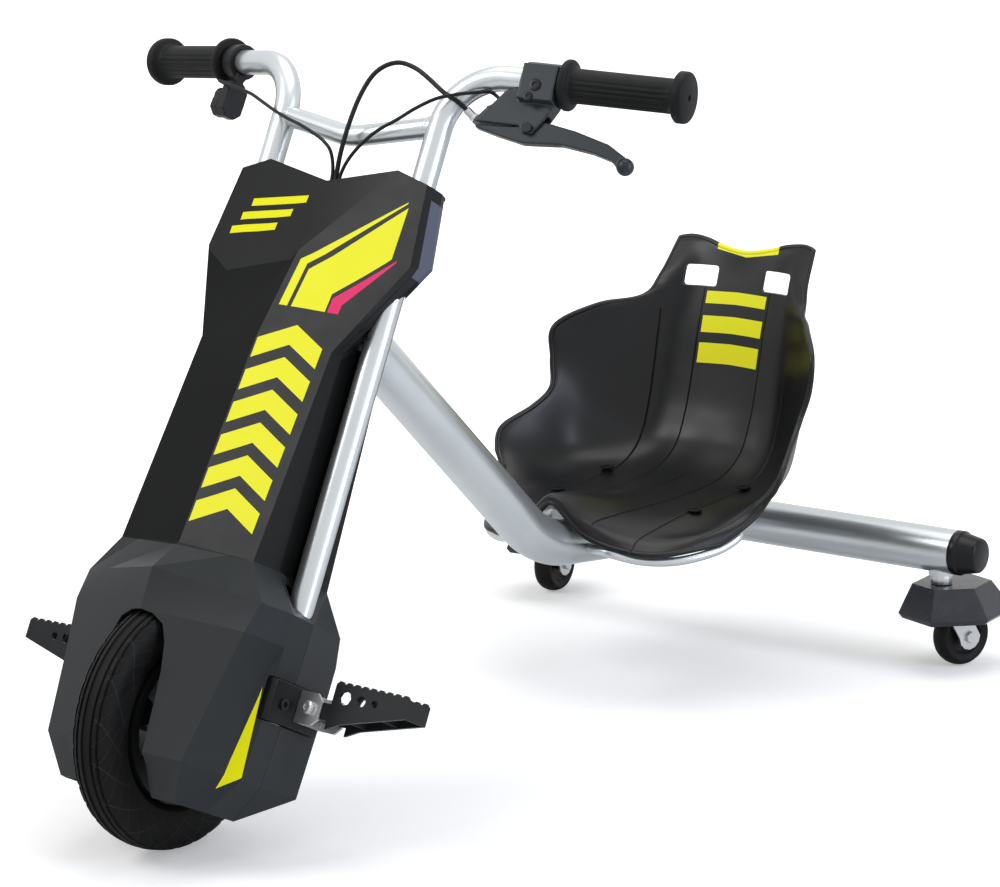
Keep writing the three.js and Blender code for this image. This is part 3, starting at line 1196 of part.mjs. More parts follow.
// Casters, drawn round the kingpin; d trails rearward
function casterGroup(side) {
  const group = new THREE.Group();
  group.name = side > 0 ? 'caster_left_group' : 'caster_right_group';
  group.position.set(side * caster.x, rear.axleY, 0);
  group.rotation.z = side > 0 ? -caster.restLeft : -caster.restRight;
  trike.add(group);
  return group;
}

function casterStem() {
  return join(
    ring('z', caster.stemRadius / 3, caster.collarRadius, caster.collarBottom, caster.collarTop, [0, 0, 0]),
    rod('z', caster.stemRadius, caster.forkTop - 2 * caster.forkPlate, rear.height - rear.tubeRadius / 2 - 2 * gap, [0, 0], sides.small),
    rod('z', 1.5 * caster.stemRadius, caster.forkTop - 2 * caster.forkPlate, caster.forkTop - gap, [0, 0]),
  );
}

function skirtRing(share, z, inset) {
  const reach = skirt.radius * share - inset;
  return Array.from({ length: 6 }, (_, k) => {
    const angle = ((k + 0.5) * Math.PI) / 3 - Math.PI / 2;
    return [reach * skirt.wide * Math.cos(angle), skirt.shift * share + reach * skirt.long * Math.sin(angle), z];
  });
}

function skirtSolid() {
  const { topZ, midZ, rimZ, wall, hexShares } = skirt;
  const outer = loft([
    skirtRing(hexShares.rim, rimZ, 0), skirtRing(hexShares.mid, midZ, 0), skirtRing(hexShares.top, topZ, 0),
  ]);
  const inner = loft([
    skirtRing(hexShares.rim, rimZ - overrun, wall), skirtRing(hexShares.mid, midZ, wall), skirtRing(hexShares.top, topZ - wall, wall),
  ]);
  const hole = rod('z', caster.stemRadius + 2 * gap, midZ, topZ + overrun, [0, 0], sides.small);
  return cut(outer, inner, hole);
}

function casterFork() {
  const { forkGap, forkPlate, forkTop, neckHalf, earRadius, axleRadius, trail, wheelRadius } = caster;
  const crownTop = skirt.topZ - skirt.wall - gap;
  const crown = rod('z', forkGap + forkPlate, forkTop, crownTop, [0, 0]);
  const bore = rod('z', caster.stemRadius + 2 * gap, forkTop - overrun, crownTop + overrun, [0, 0], sides.small);
  const outline = [
    [-neckHalf, crownTop], [-neckHalf, forkTop - neckHalf],
    ...arcPoints([trail, wheelRadius], earRadius, Math.PI, 2 * Math.PI, sides.hex),
    [neckHalf, forkTop], [neckHalf, crownTop],
  ];
  const right = slab('yz', outline, forkGap, forkGap + forkPlate);
  const pin = rod('x', axleRadius + gap, -2 * forkGap, 2 * forkGap, [trail, wheelRadius], sides.small);
  return cut(join(crown, right, mirrored(right)), bore, pin);
}

function casterTyre() {
  const { wheelRadius, wheelWidth, coreRadius, trail } = caster;
  const h = wheelWidth / 2;
  return revolve('x', [
    [coreRadius + gap, -h * 0.8], [wheelRadius * 0.86, -h], [wheelRadius * 0.96, -h * 0.66], [wheelRadius, -h * 0.22],
    [wheelRadius, h * 0.22], [wheelRadius * 0.96, h * 0.66], [wheelRadius * 0.86, h], [coreRadius + gap, h * 0.8],
  ], [0, trail, wheelRadius], sides.fine);
}

function casterCore() {
  const { wheelRadius, wheelWidth, coreRadius, trail, boreRadius, axleRadius } = caster;
  const h = wheelWidth / 2;
  const hub = 2 * axleRadius;
  return revolve('x', [
    [boreRadius, -h], [hub, -h], [hub, -h / 3], [coreRadius - axleRadius, -h / 3], [coreRadius, -h * 0.8],
    [coreRadius, h * 0.8], [coreRadius - axleRadius, h / 3], [hub, h / 3], [hub, h], [boreRadius, h],
  ], [0, trail, wheelRadius], sides.round);
}

function casterAxle() {
  const { forkGap, forkPlate, axleRadius, trail, wheelRadius, boltHead, boltHeadWidth } = caster;
  const from = forkGap + forkPlate + gap;
  const at = [trail, wheelRadius];
  return join(
    rod('x', axleRadius, -from - boltHeadWidth, from + boltHeadWidth, at, sides.small),
    rod('x', boltHead, from, from + boltHeadWidth, at, sides.hex),
    rod('x', boltHead, -from - boltHeadWidth, -from, at, sides.hex),
  );
}

// The whole trike
add(trike, 'main_frame', mainFrame(), paint.silver);
add(trike, 'seat_shell', seatShell(), paint.black);
for (const [place, y] of [['front', seatBolt.frontY], ['rear', seatBolt.rearY]]) {
  add(trike, `seat_bolt_${place}_left`, seatBoltSolid(seatBolt.x, y), paint.dark);
  add(trike, `seat_bolt_${place}_right`, seatBoltSolid(-seatBolt.x, y), paint.dark);
}
add(trike, 'end_cap_left', endCap(), paint.satin);
add(trike, 'end_cap_right', mirrored(endCap()), paint.satin);
add(steered, 'head_cup_lower', headCup(bridge.lowerTop + gap / 2), paint.steel);
add(steered, 'head_cup_upper', headCup(headTop + gap / 2), paint.steel);
add(steered, 'steering_bolt', steeringBolt(), paint.steel);
add(steered, 'fork_and_bars', forkAndBars(), paint.silver);
add(steered, 'shroud_front', frontShell(), paint.satin);
add(steered, 'shroud_rear', rearShell(), paint.satin);
add(steered, 'switch_bezel', switchBezel(), paint.black);
add(steered, 'power_switch', rockerSwitch(), paint.black);
add(steered, 'charge_socket', chargeSocket(), paint.black);
add(barLeft, 'grip_left', gripSolid(), paint.rubber);
add(barRight, 'grip_right', gripSolid(), paint.rubber);
add(barLeft, 'brake_perch', leverPerch(), paint.dark);
add(barLeft, 'lever_pivot_bolt', leverPin(), paint.steel);
add(barLeft, 'brake_lever', brakeLever(), paint.dark);
add(barLeft, 'barrel_adjuster', barrelAdjuster(), paint.steel);
add(barRight, 'throttle_housing', throttleHousing(), paint.black);
add(barRight, 'throttle_paddle', throttlePaddle(), paint.black);
add(steered, 'brake_cable', cableSolid(brakeRoute, cable.brakeRadius, cable.brakeSteps), paint.black);
add(steered, 'switch_wire', cableSolid(switchRoute, cable.wireRadius, cable.wireSteps), paint.black);
add(steered, 'throttle_wire', cableSolid(throttleRoute, cable.wireRadius, cable.wireSteps), paint.black);
add(steered, 'front_tyre', tyreSolid(), paint.tyre);
add(steered, 'front_rim', rimSolid(), paint.black);
add(steered, 'wheel_sprocket', wheelSprocketSolid(), paint.steel);
add(steered, 'brake_drum', brakeDrum(), paint.steel);
add(steered, 'band_brake', bandBrake(), paint.dark);
add(steered, 'front_axle', axleSolid(), paint.steel);
add(steered, 'motor', motorSolid(), paint.dark);
add(steered, 'motor_sprocket', motorSprocketSolid(), paint.steel);
add(steered, 'chain', chainSolid(), paint.steel);
add(steered, 'battery', batterySolid(), paint.grey);
add(steered, 'controller', controllerSolid(), paint.dark);
for (const [side, place] of [[1, 'left'], [-1, 'right']]) {
  const at = (part) => (side > 0 ? part : mirrored(part));
  add(steered, `peg_block_${place}`, at(pegBlockSolid()), paint.black);
  add(steered, `peg_clevis_${place}`, at(clevisSolid()), paint.steel);
  add(steered, `peg_pin_${place}`, at(pegPinSolid()), paint.steel);
  add(steered, `foot_peg_${place}`, at(footPeg()), paint.dark);
  const group = casterGroup(side);
  add(group, `caster_stem_${place}`, casterStem(), paint.steel);
  add(group, `caster_skirt_${place}`, skirtSolid(), paint.satin);
  add(group, `caster_fork_${place}`, casterFork(), paint.steel);
  add(group, `caster_tyre_${place}`, casterTyre(), paint.tyre);
  add(group, `caster_core_${place}`, casterCore(), paint.grey);
  add(group, `caster_axle_${place}`, casterAxle(), paint.steel);
}

// The row's origin is the middle of the footprint, on the ground
trike.updateMatrixWorld(true);
const extent = new THREE.Box3().setFromObject(trike, true);
trike.position.set(-(extent.min.x + extent.max.x) / 2, -(extent.min.y + extent.max.y) / 2, -extent.min.z);

export default trike;
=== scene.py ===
import functools
import json
import math

import bmesh
import bpy
from mathutils import Matrix, Vector


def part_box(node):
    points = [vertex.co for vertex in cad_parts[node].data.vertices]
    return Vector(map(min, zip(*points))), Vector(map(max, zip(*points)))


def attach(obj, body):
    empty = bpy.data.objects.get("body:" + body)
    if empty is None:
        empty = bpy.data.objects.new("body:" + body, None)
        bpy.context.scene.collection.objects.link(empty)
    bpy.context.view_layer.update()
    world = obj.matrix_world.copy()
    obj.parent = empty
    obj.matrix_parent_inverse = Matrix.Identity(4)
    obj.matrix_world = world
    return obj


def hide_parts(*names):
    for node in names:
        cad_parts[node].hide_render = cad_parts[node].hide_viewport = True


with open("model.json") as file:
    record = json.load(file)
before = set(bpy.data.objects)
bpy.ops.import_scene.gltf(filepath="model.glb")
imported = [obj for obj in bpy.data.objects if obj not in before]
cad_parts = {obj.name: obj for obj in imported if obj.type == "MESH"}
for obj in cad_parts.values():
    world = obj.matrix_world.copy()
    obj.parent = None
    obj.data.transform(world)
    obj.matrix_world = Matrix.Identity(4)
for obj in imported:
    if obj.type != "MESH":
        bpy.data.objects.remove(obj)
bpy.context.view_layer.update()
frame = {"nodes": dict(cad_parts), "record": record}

NODES = frame["nodes"]
MM = 0.001
TO_MM = 1000

# Places taken from the frame
TYRE_LOW, TYRE_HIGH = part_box("front_tyre")
CONTACT = Vector(((TYRE_LOW.x + TYRE_HIGH.x) / 2, (TYRE_LOW.y + TYRE_HIGH.y) / 2, 0))
RAKE = math.radians(26.8)
TO_ROW = Matrix.Translation(CONTACT) @ Matrix.Rotation(-RAKE, 4, "X")
WORLD = Matrix.Translation(CONTACT)

# Sizes that follow the part, in millimetres; those of the fork and the bars are in the raked steering frame
WHEEL_RADIUS, BEAD_RADIUS = 122, 76.3
LEG_SPREAD, LEG_AHEAD, LEG_RADIUS, LEG_BOTTOM = 99, 38.8, 12.7, 125
BRIDGE_TOPS, BRIDGE_THICK, BRIDGE_HALF = (514, 634), 8, 16
HEAD_SECTION = [(15, 522), (19, 522), (19, 618), (15, 618)]
BAR_HEIGHT, BAR_BEND, TO_GRIP, BAR_END_RADIUS, BAR_TAPER = 785, 60, 115.5, 11.1, 6
BRACE_RADIUS, BRACE_END, BRACE_MIDDLE, BRACE_AHEAD, BRACE_BEND = 10.6, 729, 709, 47, 70
SWEEP, RISE = math.radians(13.2), math.radians(2.6)
GRIP_LENGTH, GRIP_RADIUS, FLANGE_RADIUS, GRIP_END = 128, 17, 24.9, 7
TUBE_RADIUS, CROSS_Y, CROSS_Z, CROSS_HALF = 25.4, 972, 137.5, 300
MAIN_JOIN, MAIN_SLOPE, MAIN_BEND, REAR_START = (9.5, 554), 0.904, 150, (650, 172)
PAD_RADIUS, PAD_HEIGHTS = 15, (109.8, 130)
RAILS = (("front", 749, 190.4), ("rear", 847, 196.5))
RAIL_HALF, RAIL_REACH, RAIL_THICK, POST_HALF, POST_REACH = 112, 13, 4, 20, 15
HOOP_RADIUS, HOOP_DROP, HOOP_START, HOOP_END = 5, 18, (8, 655), 107
HOOP_SHARES = ((0.05, 0.4), (0.05, 0.62), (0.05, 0.8), (0.09, 0.93), (0.15, 0.93), (0.19, 0.85))
SEAT_BOLT_SPREAD, CASTER_SPREAD = 94, 281
CASTER_SWIVEL = {"left": -20, "right": 6}
GAP = 0.3
SIDES = ((-1, "right"), (1, "left"))
# Boxes on the fork: x, y and z, each from and to
DROPOUT = (82, 88, -74, -27, 92, 166)
MOTOR_SHELVES = ((-88, -58, -96, -8, 236.5, 240.5), (-42, 88, -96, -8, 236.5, 240.5))
GUSSETS = ((66, 80, -52, -22, 484, 506), (-80, -66, -52, -22, 484, 506))

# Camera, matched to the photograph
CAMERA_AT = Vector((2065.85, -2201.11, 1026.09))
CAMERA_RIGHT = Vector((0.79693, 0.60404, -0.00623))
CAMERA_UP = Vector((-0.12006, 0.1685, 0.97836))
CAMERA_BACK = Vector((0.59201894, -0.77893938, 0.20680188))
LENS = 118.26


def placed(name, data):
    """A new object in the scene."""
    thing = bpy.data.objects.new(name, data)
    bpy.context.scene.collection.objects.link(thing)
    return thing


def make_camera():
    data = bpy.data.cameras.new("camera")
    data.lens = LENS
    data.sensor_width = 36
    data.sensor_fit = "HORIZONTAL"
    data.clip_end = 50
    camera = placed("camera", data)
    turn = Matrix((CAMERA_RIGHT, CAMERA_UP, CAMERA_BACK)).transposed().to_4x4()
    camera.matrix_world = Matrix.Translation(CAMERA_AT * MM + CONTACT) @ turn
    bpy.context.scene.camera = camera


# Masks built out of math nodes
class Value:
    """A socket's value, with the arithmetic that builds masks; & holds where both do, | where either does."""

    def __init__(self, tree, socket):
        self.tree, self.socket = tree, socket

    def made_by(self, operation, *others):
        node = self.tree.nodes.new("ShaderNodeMath")
        node.operation = operation
        for place, value in zip(node.inputs, (self, *others)):
            if isinstance(value, Value):
                self.tree.links.new(value.socket, place)
            else:
                place.default_value = value
        return Value(self.tree, node.outputs[0])

    def __add__(self, other):
        return self.made_by("ADD", other)

    def __sub__(self, other):
        return self.made_by("SUBTRACT", other)

    def __mul__(self, other):
        return self.made_by("MULTIPLY", other)

    def __abs__(self):
        return self.made_by("ABSOLUTE")

    def under(self, limit):
        return self.made_by("LESS_THAN", limit)

    def over(self, limit):
        return self.made_by("GREATER_THAN", limit)

    def __or__(self, other):
        return self.made_by("MAXIMUM", other)

    def __and__(self, other):
        return self.made_by("MULTIPLY", other)


def inside(value, low, high):
    return value.over(low) & value.under(high)


def any_of(masks):
    return functools.reduce(lambda first, second: first | second, masks)


def new_material(name):
    material = bpy.data.materials.new(name)
    material.use_nodes = True
    tree = material.node_tree
    principled = tree.nodes["Principled BSDF"]
    return material, tree, principled


def set_inputs(node, values):
    for name, value in values.items():
        node.inputs[name].default_value = value


def noise(tree, scale, detail=3, vector=None):
    node = tree.nodes.new("ShaderNodeTexNoise")
    set_inputs(node, {"Scale": scale, "Detail": detail})
    if vector is None:
        place = tree.nodes.new("ShaderNodeTexCoord")
        vector = place.outputs["Object"]
    tree.links.new(vector, node.inputs["Vector"])
    return node.outputs["Fac"]


def ranged(tree, fac, low, high):
    node = tree.nodes.new("ShaderNodeMapRange")
    set_inputs(node, {"From Min": 0.3, "From Max": 0.7, "To Min": low, "To Max": high})
    tree.links.new(fac, node.inputs["Value"])
    return node.outputs["Result"]


def mixed(tree, fac, first, second):
    node = tree.nodes.new("ShaderNodeMix")
    node.data_type = "RGBA"
    if isinstance(fac, Value):
        fac = fac.socket
    tree.links.new(fac, node.inputs["Factor"])
    for place, colour in (("A", first), ("B", second)):
        socket = [s for s in node.inputs if s.name == place and s.type == "RGBA"][0]
        if isinstance(colour, bpy.types.NodeSocket):
            tree.links.new(colour, socket)
        else:
            socket.default_value = (*colour, 1)
    return [s for s in node.outputs if s.type == "RGBA"][0]


def drifting(tree, scale, detail, dark, light):
    """A colour that drifts between two tones in soft patches."""
    return mixed(tree, ranged(tree, noise(tree, scale, detail), 0, 1), dark, light)


def bump(tree, principled, fac, strength, distance):
    node = tree.nodes.new("ShaderNodeBump")
    set_inputs(node, {"Strength": strength, "Distance": distance})
    tree.links.new(fac, node.inputs["Height"])
    tree.links.new(node.outputs["Normal"], principled.inputs["Normal"])


def plain(
    name, dark, light, rough, metal=0, grain=900, depth=30, coat=0, patch=9, shine=0.5, strength=0.3,
):
    """A surface whose colour drifts between two close tones over a fine grain, its depth in micrometres."""
    material, tree, principled = new_material(name)
    tree.links.new(drifting(tree, patch, 3, dark, light), principled.inputs["Base Color"])
    uneven = 0.012 if metal > 0.5 else 0.04
    roughen(tree, principled, patch * 6, rough - uneven, rough + uneven)
    set_inputs(principled, {
        "Metallic": metal, "Coat Weight": coat, "Coat Roughness": 0.15, "Specular IOR Level": shine,
    })
    bump(tree, principled, noise(tree, grain, 2), strength, depth * 0.000001)
    return material


def roughen(tree, principled, scale, low, high):
    spread = ranged(tree, noise(tree, scale, 5), low, high)
    tree.links.new(spread, principled.inputs["Roughness"])


def resting_axes(tree, to_row):
    """x, y and z in millimetres of a frame at the shaded point of a piece at rest."""
    place = tree.nodes.new("ShaderNodeTexCoord")
    mapping = tree.nodes.new("ShaderNodeMapping")
    back = to_row.inverted()
    shift = [v * TO_MM for v in back.translation]
    set_inputs(mapping, {"Rotation": back.to_euler(), "Location": shift, "Scale": [TO_MM] * 3})
    tree.links.new(place.outputs["Object"], mapping.inputs["Vector"])
    return split_up(tree, mapping.outputs["Vector"])


def split_up(tree, vector):
    split = tree.nodes.new("ShaderNodeSeparateXYZ")
    tree.links.new(vector, split.inputs["Vector"])
    return [Value(tree, split.outputs[k]) for k in range(3)]


def resting_normal(tree):
    """The skin's own normal, x, y and z in the row frame at rest."""
    return split_up(tree, tree.nodes.new("ShaderNodeTexCoord").outputs["Normal"])


def facing_ahead(tree):
    """One where the skin's outer side looks ahead of the steering axis, nought on its inner side."""
    y, z = resting_normal(tree)[1:]
    return (y * math.cos(RAKE) - z * math.sin(RAKE)).under(-0.05)


YELLOW = (0.86, 0.84, 0.004)
PINK = (0.78, 0.006, 0.13)

# The shroud, painted paler below its waist as painted sheen, with chevrons, dashes and bars that bend outward
# above the chevrons
WAIST = 268
CHEVRONS, CHEVRON_LOW, CHEVRON_PITCH, CHEVRON_THICK = 6, 312, 34, 21
CHEVRON_SLOPE, CHEVRON_PEAK, CHEVRON_SIDES = 0.55, 37, (2, 72)
DASHES, DASH_LOW, DASH_PITCH, DASH_THICK, DASH_SLOPE = 3, 606, 14, 8, 0.12
BENT_BARS_LOW = 521
# Slope and height of the upper edge, slope and height of the lower edge, x of its corner, then the two sides
WIDE_BAR = (0.9, 543, 0.96, 483.4, 59, 21.5, 106)
THIN_BAR = (0.747, 566.4, 0.855, 553.3, 17, 7.5, 104)
PINK_BAR = (0.96, 477, 1.336, 432.6, 73.5, 61.5, 112)


def chevron(x, z, low):
    rise = z + abs(x - CHEVRON_PEAK) * CHEVRON_SLOPE - low
    return inside(rise, 0, CHEVRON_THICK) & inside(x, *CHEVRON_SIDES)


def dash(x, z, k):
    level = z - x * DASH_SLOPE - (DASH_LOW + DASH_PITCH * k)
    return inside(level, 0, DASH_THICK) & inside(x, -104 + 9 * k, -44 + 14 * k)


def bent_bar(x, z, upper_slope, upper, lower_slope, lower, corner, left, right):
    above_lower_edge = (z - x * lower_slope).over(lower) | x.under(corner)
    return (z - x * upper_slope).under(upper) & above_lower_edge & inside(x, left, right)


def shroud_material():
    """Charcoal moulded plastic with yellow chevrons, bars and wedges and a pink bar, a painted bluish
    highlight on each side of the head and painted sheen below its waist.
    """
    material, tree, principled = new_material("shroud_charcoal")
    x, y, z = resting_axes(tree, TO_ROW)
    outward = facing_ahead(tree)
    front = y.under(-52) & z.over(WAIST) & outward
    above_chevrons = z.over(BENT_BARS_LOW)
    chevrons = any_of(chevron(x, z, CHEVRON_LOW + CHEVRON_PITCH * k) for k in range(CHEVRONS))
    slash = (bent_bar(x, z, *WIDE_BAR) | bent_bar(x, z, *THIN_BAR)) & above_chevrons
    pink = bent_bar(x, z, *PINK_BAR) & above_chevrons & front
    dashes = any_of(dash(x, z, k) for k in range(DASHES))
    front_edge = (y - z * 0.062).over(-84.2)
    back_edge = (y + z * 0.068).under(-63.6)
    low_edge = (z - y * 1.33).over(163.6)
    wedge = front_edge & back_edge & low_edge & abs(x).over(80) & inside(z, 50, 158) & outward
    yellow = ((chevrons | slash | dashes) & front) | wedge
    tone = drifting(tree, 8, 3, (0.006, 0.0064, 0.0068), (0.0088, 0.0092, 0.0096))
    # Painted sheen: below its waist the shroud is painted paler, as if light fell on its lower facets
    tone = mixed(tree, z.under(WAIST), tone, (0.026, 0.029, 0.031))
    # Painted highlight: each side of the head is painted pale blue-grey, as a painted reflection of bluish
    # light
    painted_side_highlight = abs(x).over(116.5) & inside(z, 574, 652) & inside(y, -46, 14)
    tone = mixed(tree, painted_side_highlight, tone, (0.095, 0.105, 0.15))
    tone = mixed(tree, yellow, tone, YELLOW)
    tone = mixed(tree, pink, tone, PINK)
    tree.links.new(tone, principled.inputs["Base Color"])
    roughen(tree, principled, 40, 0.31, 0.37)
    # Painted shade: faces turned to the left above the waist get less specular, so that side reads darker
    shaded_left_faces = resting_normal(tree)[0].under(-0.12) & z.over(WAIST)
    tree.links.new((shaded_left_faces * -0.09 + 0.14).socket, principled.inputs["Specular IOR Level"])
    bump(tree, principled, noise(tree, 1400, 2), 0.12, 0.00005)
    return material


# The seat's pattern: low and high edge of each bar; x, start and top of each long groove
SEAT_BARS, SEAT_BAR_HALF, SEAT_BAR_SLOPE = ((391, 405), (358, 377), (323, 346)), 41, 0.03
SEAT_GROOVES = ((45, 622, 408), (90, 612, 382))


def narrow_line(distance):
    """One on a line and less beside it, down to nought about a millimetre away."""
    return (abs(distance) * -0.9 + 1).made_by("MAXIMUM", 0)


def seat_material():
    """Satin black moulding with narrow moulded grooves painted darker as painted shade, yellow bars on its
    back and on its top edge.
    """
    material, tree, principled = new_material("seat_satin_black")
    x, y, z = resting_axes(tree, WORLD)
    facing = split_up(tree, tree.nodes.new("ShaderNodeNewGeometry").outputs["True Normal"])
    apart = abs(x)
    front_side = facing[1].under(-0.05) & y.over(930)
    level = z + apart * SEAT_BAR_SLOPE
    bars = any_of(inside(level, low, high) & apart.under(SEAT_BAR_HALF) for low, high in SEAT_BARS)
    off_middle = abs(x - 4)
    edge = (z - off_middle * 0.16).over(445) & off_middle.under(42) & y.over(980)
    yellow = (bars & front_side) | (edge & front_side)
    pan = (z.over(212) | y.over(870)).under(0.5)
    long_grooves = any_of(
        narrow_line(apart - away) & inside(y, start, 2000) & z.under(top)
        for away, start, top in SEAT_GROOVES
    )
    middle = narrow_line(x) & inside(y, 634, 868) & pan
    slanted = narrow_line(apart - y * 0.47 + 183) & inside(y, 684, 752)
    groove = (long_grooves | middle | slanted) & facing[2].over(-0.35)
    tone = drifting(tree, 6, 3, (0.0042, 0.0045, 0.0052), (0.0062, 0.0065, 0.0074))
    # Painted shade: the grooves are painted darker than the skin round them
    tone = mixed(tree, groove, tone, (0.0015, 0.0015, 0.0015))
    tree.links.new(mixed(tree, yellow, tone, YELLOW), principled.inputs["Base Color"])
    roughen(tree, principled, 25, 0.31, 0.37)
    principled.inputs["Specular IOR Level"].default_value = 0.3
    bump(tree, principled, (groove * -1 + 1).socket, 1.0, 0.0012)
    return material


def tyre_material():
    """Dark rubber with curved sipes that cross each other on the shoulders, outside the round grooves."""
    material, tree, principled = new_material("tyre_rubber")
    tone = drifting(tree, 30, 6, (0.0035, 0.0035, 0.0036), (0.008, 0.008, 0.0078))
    sipes = 18
    x, y, z = resting_axes(tree, TO_ROW)
    y, z = y + WHEEL_RADIUS * math.sin(RAKE), z - WHEEL_RADIUS * math.cos(RAKE)
    reach = (y * y + z * z).made_by("SQRT")
    turn = y.made_by("ARCTAN2", z) * (sipes / (2 * math.pi))
    bent = (reach * -1 + WHEEL_RADIUS) * 0.034
    first = (turn + bent).made_by("FRACT")
    second = (turn * 2 - bent * 2.2 + 0.4).made_by("FRACT")
    hatch = (turn * 12 + bent * 9).made_by("FRACT")
    shoulder = abs(x).over(9.5) & reach.over(WHEEL_RADIUS - 34)
    cuts = (first.under(0.034) | second.under(0.04)) & shoulder
    hatched = inside(reach, WHEEL_RADIUS - 22, WHEEL_RADIUS - 11)
    fine = hatch.under(0.3) & hatched & (first.under(0.5) & shoulder)
    relief = (cuts | fine * 0.25) * -1 + 1
    tree.links.new(mixed(tree, cuts, tone, (0.026, 0.026, 0.026)), principled.inputs["Base Color"])
    roughen(tree, principled, 60, 0.52, 0.66)
    principled.inputs["Specular IOR Level"].default_value = 0.14
    bump(tree, principled, relief.socket, 0.9, 0.0013)
    return material


# Name, darker and lighter tone, roughness and metal of each plain surface, then what differs from the usual
PLAIN = {
    "silver": (
        "silver_paint", (0.57, 0.605, 0.62), (0.62, 0.655, 0.67), 0.3, 0.82,
        {"grain": 500, "depth": 10, "coat": 0.1, "strength": 0.04},
    ),
    "steel": (
        "zinc_steel", (0.52, 0.53, 0.54), (0.62, 0.63, 0.64), 0.3, 0.9,
        {"grain": 500, "depth": 20, "patch": 4, "strength": 0.05},
    ),
    "dark": ("dark_painted_metal", (0.009, 0.01, 0.011), (0.014, 0.015, 0.016), 0.32, 0.2, {"shine": 0.22}),
    "bolt": ("bolt_black", (0.004, 0.004, 0.004), (0.007, 0.007, 0.007), 0.5, 0.2, {"shine": 0.15}),
    "lever": (
        "grey_painted_alloy", (0.024, 0.028, 0.032), (0.032, 0.037, 0.041), 0.34, 0.3,
        {"shine": 0.25},
    ),
    "black": (
        "black_moulding", (0.007, 0.007, 0.008), (0.011, 0.011, 0.012), 0.34,
        {"depth": 40, "shine": 0.18},
    ),
    "satin": ("satin_moulding", (0.0055, 0.0058, 0.0062), (0.008, 0.0084, 0.009), 0.3, {"shine": 0.2}),
    "skirt": ("skirt_moulding", (0.016, 0.018, 0.024), (0.021, 0.023, 0.03), 0.26, {"shine": 0.35}),
    "rubber": (
        "grip_rubber", (0.0065, 0.007, 0.0075), (0.0105, 0.011, 0.0115), 0.55,
        {"grain": 1300, "depth": 80, "shine": 0.14},
    ),
    "small_tyre": (
        "caster_rubber", (0.005, 0.005, 0.005), (0.009, 0.009, 0.009), 0.5,
        {"depth": 50, "shine": 0.15},
    ),
    "sheath": (
        "cable_sheath", (0.006, 0.006, 0.007), (0.011, 0.011, 0.012), 0.42,
        {"grain": 600, "depth": 50, "shine": 0.2},
    ),
    "battery": ("battery_wrap", (0.1, 0.11, 0.12), (0.14, 0.15, 0.16), 0.5, {"grain": 500, "depth": 80}),
    "core": (
        "caster_core", (0.008, 0.008, 0.009), (0.013, 0.013, 0.014), 0.42,
        {"grain": 700, "depth": 40, "shine": 0.3},
    ),
}
MATERIALS = {}


def make_materials():
    for key, (*values, options) in PLAIN.items():
        MATERIALS[key] = plain(*values, **options)
    MATERIALS["tyre"] = tyre_material()
    MATERIALS["shroud"] = shroud_material()
    MATERIALS["seat"] = seat_material()


# Mesh helpers; every piece is drawn in row metres
# Degrees between two faces from which their edge is rounded, on faceted mouldings and on everything else
CRISP_EDGE, SOFT_EDGE = 11, 28


def finished(name, mesh, body, material, nodes=(), angle=35, bevel=0, segments=2, crisp=False):
    piece = placed(name, mesh)
    mesh.materials.clear()
    mesh.materials.append(MATERIALS[material])
    mesh.shade_smooth()
    mesh.set_sharp_from_angle(angle=math.radians(angle))
    if bevel:
        round_off = piece.modifiers.new("edges", "BEVEL")
        round_off.width = bevel * MM
        round_off.segments = segments
        round_off.limit_method = "ANGLE"
        round_off.angle_limit = math.radians(CRISP_EDGE if crisp else SOFT_EDGE)
    if crisp:
        piece.modifiers.new("flats", "WEIGHTED_NORMAL").weight = 80
    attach(piece, body)
    if nodes:
        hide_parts(*nodes)
    return piece


def body_holding(node):
    bodies = frame["record"]["behaviour"]["bodies"]
    return next(name for name, members in bodies.items() if node in members)


def dressed(node, material, bevel=0, segments=2, angle=35, crisp=False):
    """A copy of a node's solid with welded points, whole flat faces, softened edges and smooth shading."""
    mesh = NODES[node].data.copy()
    mesh.name = node + "_mesh"
    work = bmesh.new()
    work.from_mesh(mesh)
    bmesh.ops.remove_doubles(work, verts=work.verts, dist=0.00002)
    bmesh.ops.dissolve_limit(work, angle_limit=math.radians(0.5), verts=work.verts, edges=work.edges)
    bmesh.ops.recalc_face_normals(work, faces=work.faces)
    work.to_mesh(mesh)
    work.free()
    body = body_holding(node)
    return finished(node + "_piece", mesh, body, material, (node,), angle, bevel, segments, crisp)


def cast(node, material, grain=0.7, passes=10):
    """A copy of a node's solid with the soft, round edges of a casting."""
    piece = dressed(node, material)
    piece.data.shade_smooth()
    piece.data.set_sharp_from_angle(angle=math.pi)
    grid = piece.modifiers.new("grain", "REMESH")
    grid.mode = "VOXEL"
    grid.voxel_size = grain * MM
    grid.use_smooth_shade = True
    soften = piece.modifiers.new("soften", "SMOOTH")
    soften.iterations = passes


def mesh_from(name, points, faces, place):
    mesh = bpy.data.meshes.new(name)
    mesh.from_pydata([place @ (Vector(p) * MM) for p in points], [], faces)
    mesh.validate()
    work = bmesh.new()
    work.from_mesh(mesh)
    bmesh.ops.recalc_face_normals(work, faces=work.faces)
    work.to_mesh(mesh)
    work.free()
    return mesh


def circle(count, start=0):
    """Cosine and sine of evenly spaced angles."""
    angles = [2 * math.pi * (k + start) / count for k in range(count)]
    return [(math.cos(angle), math.sin(angle)) for angle in angles]


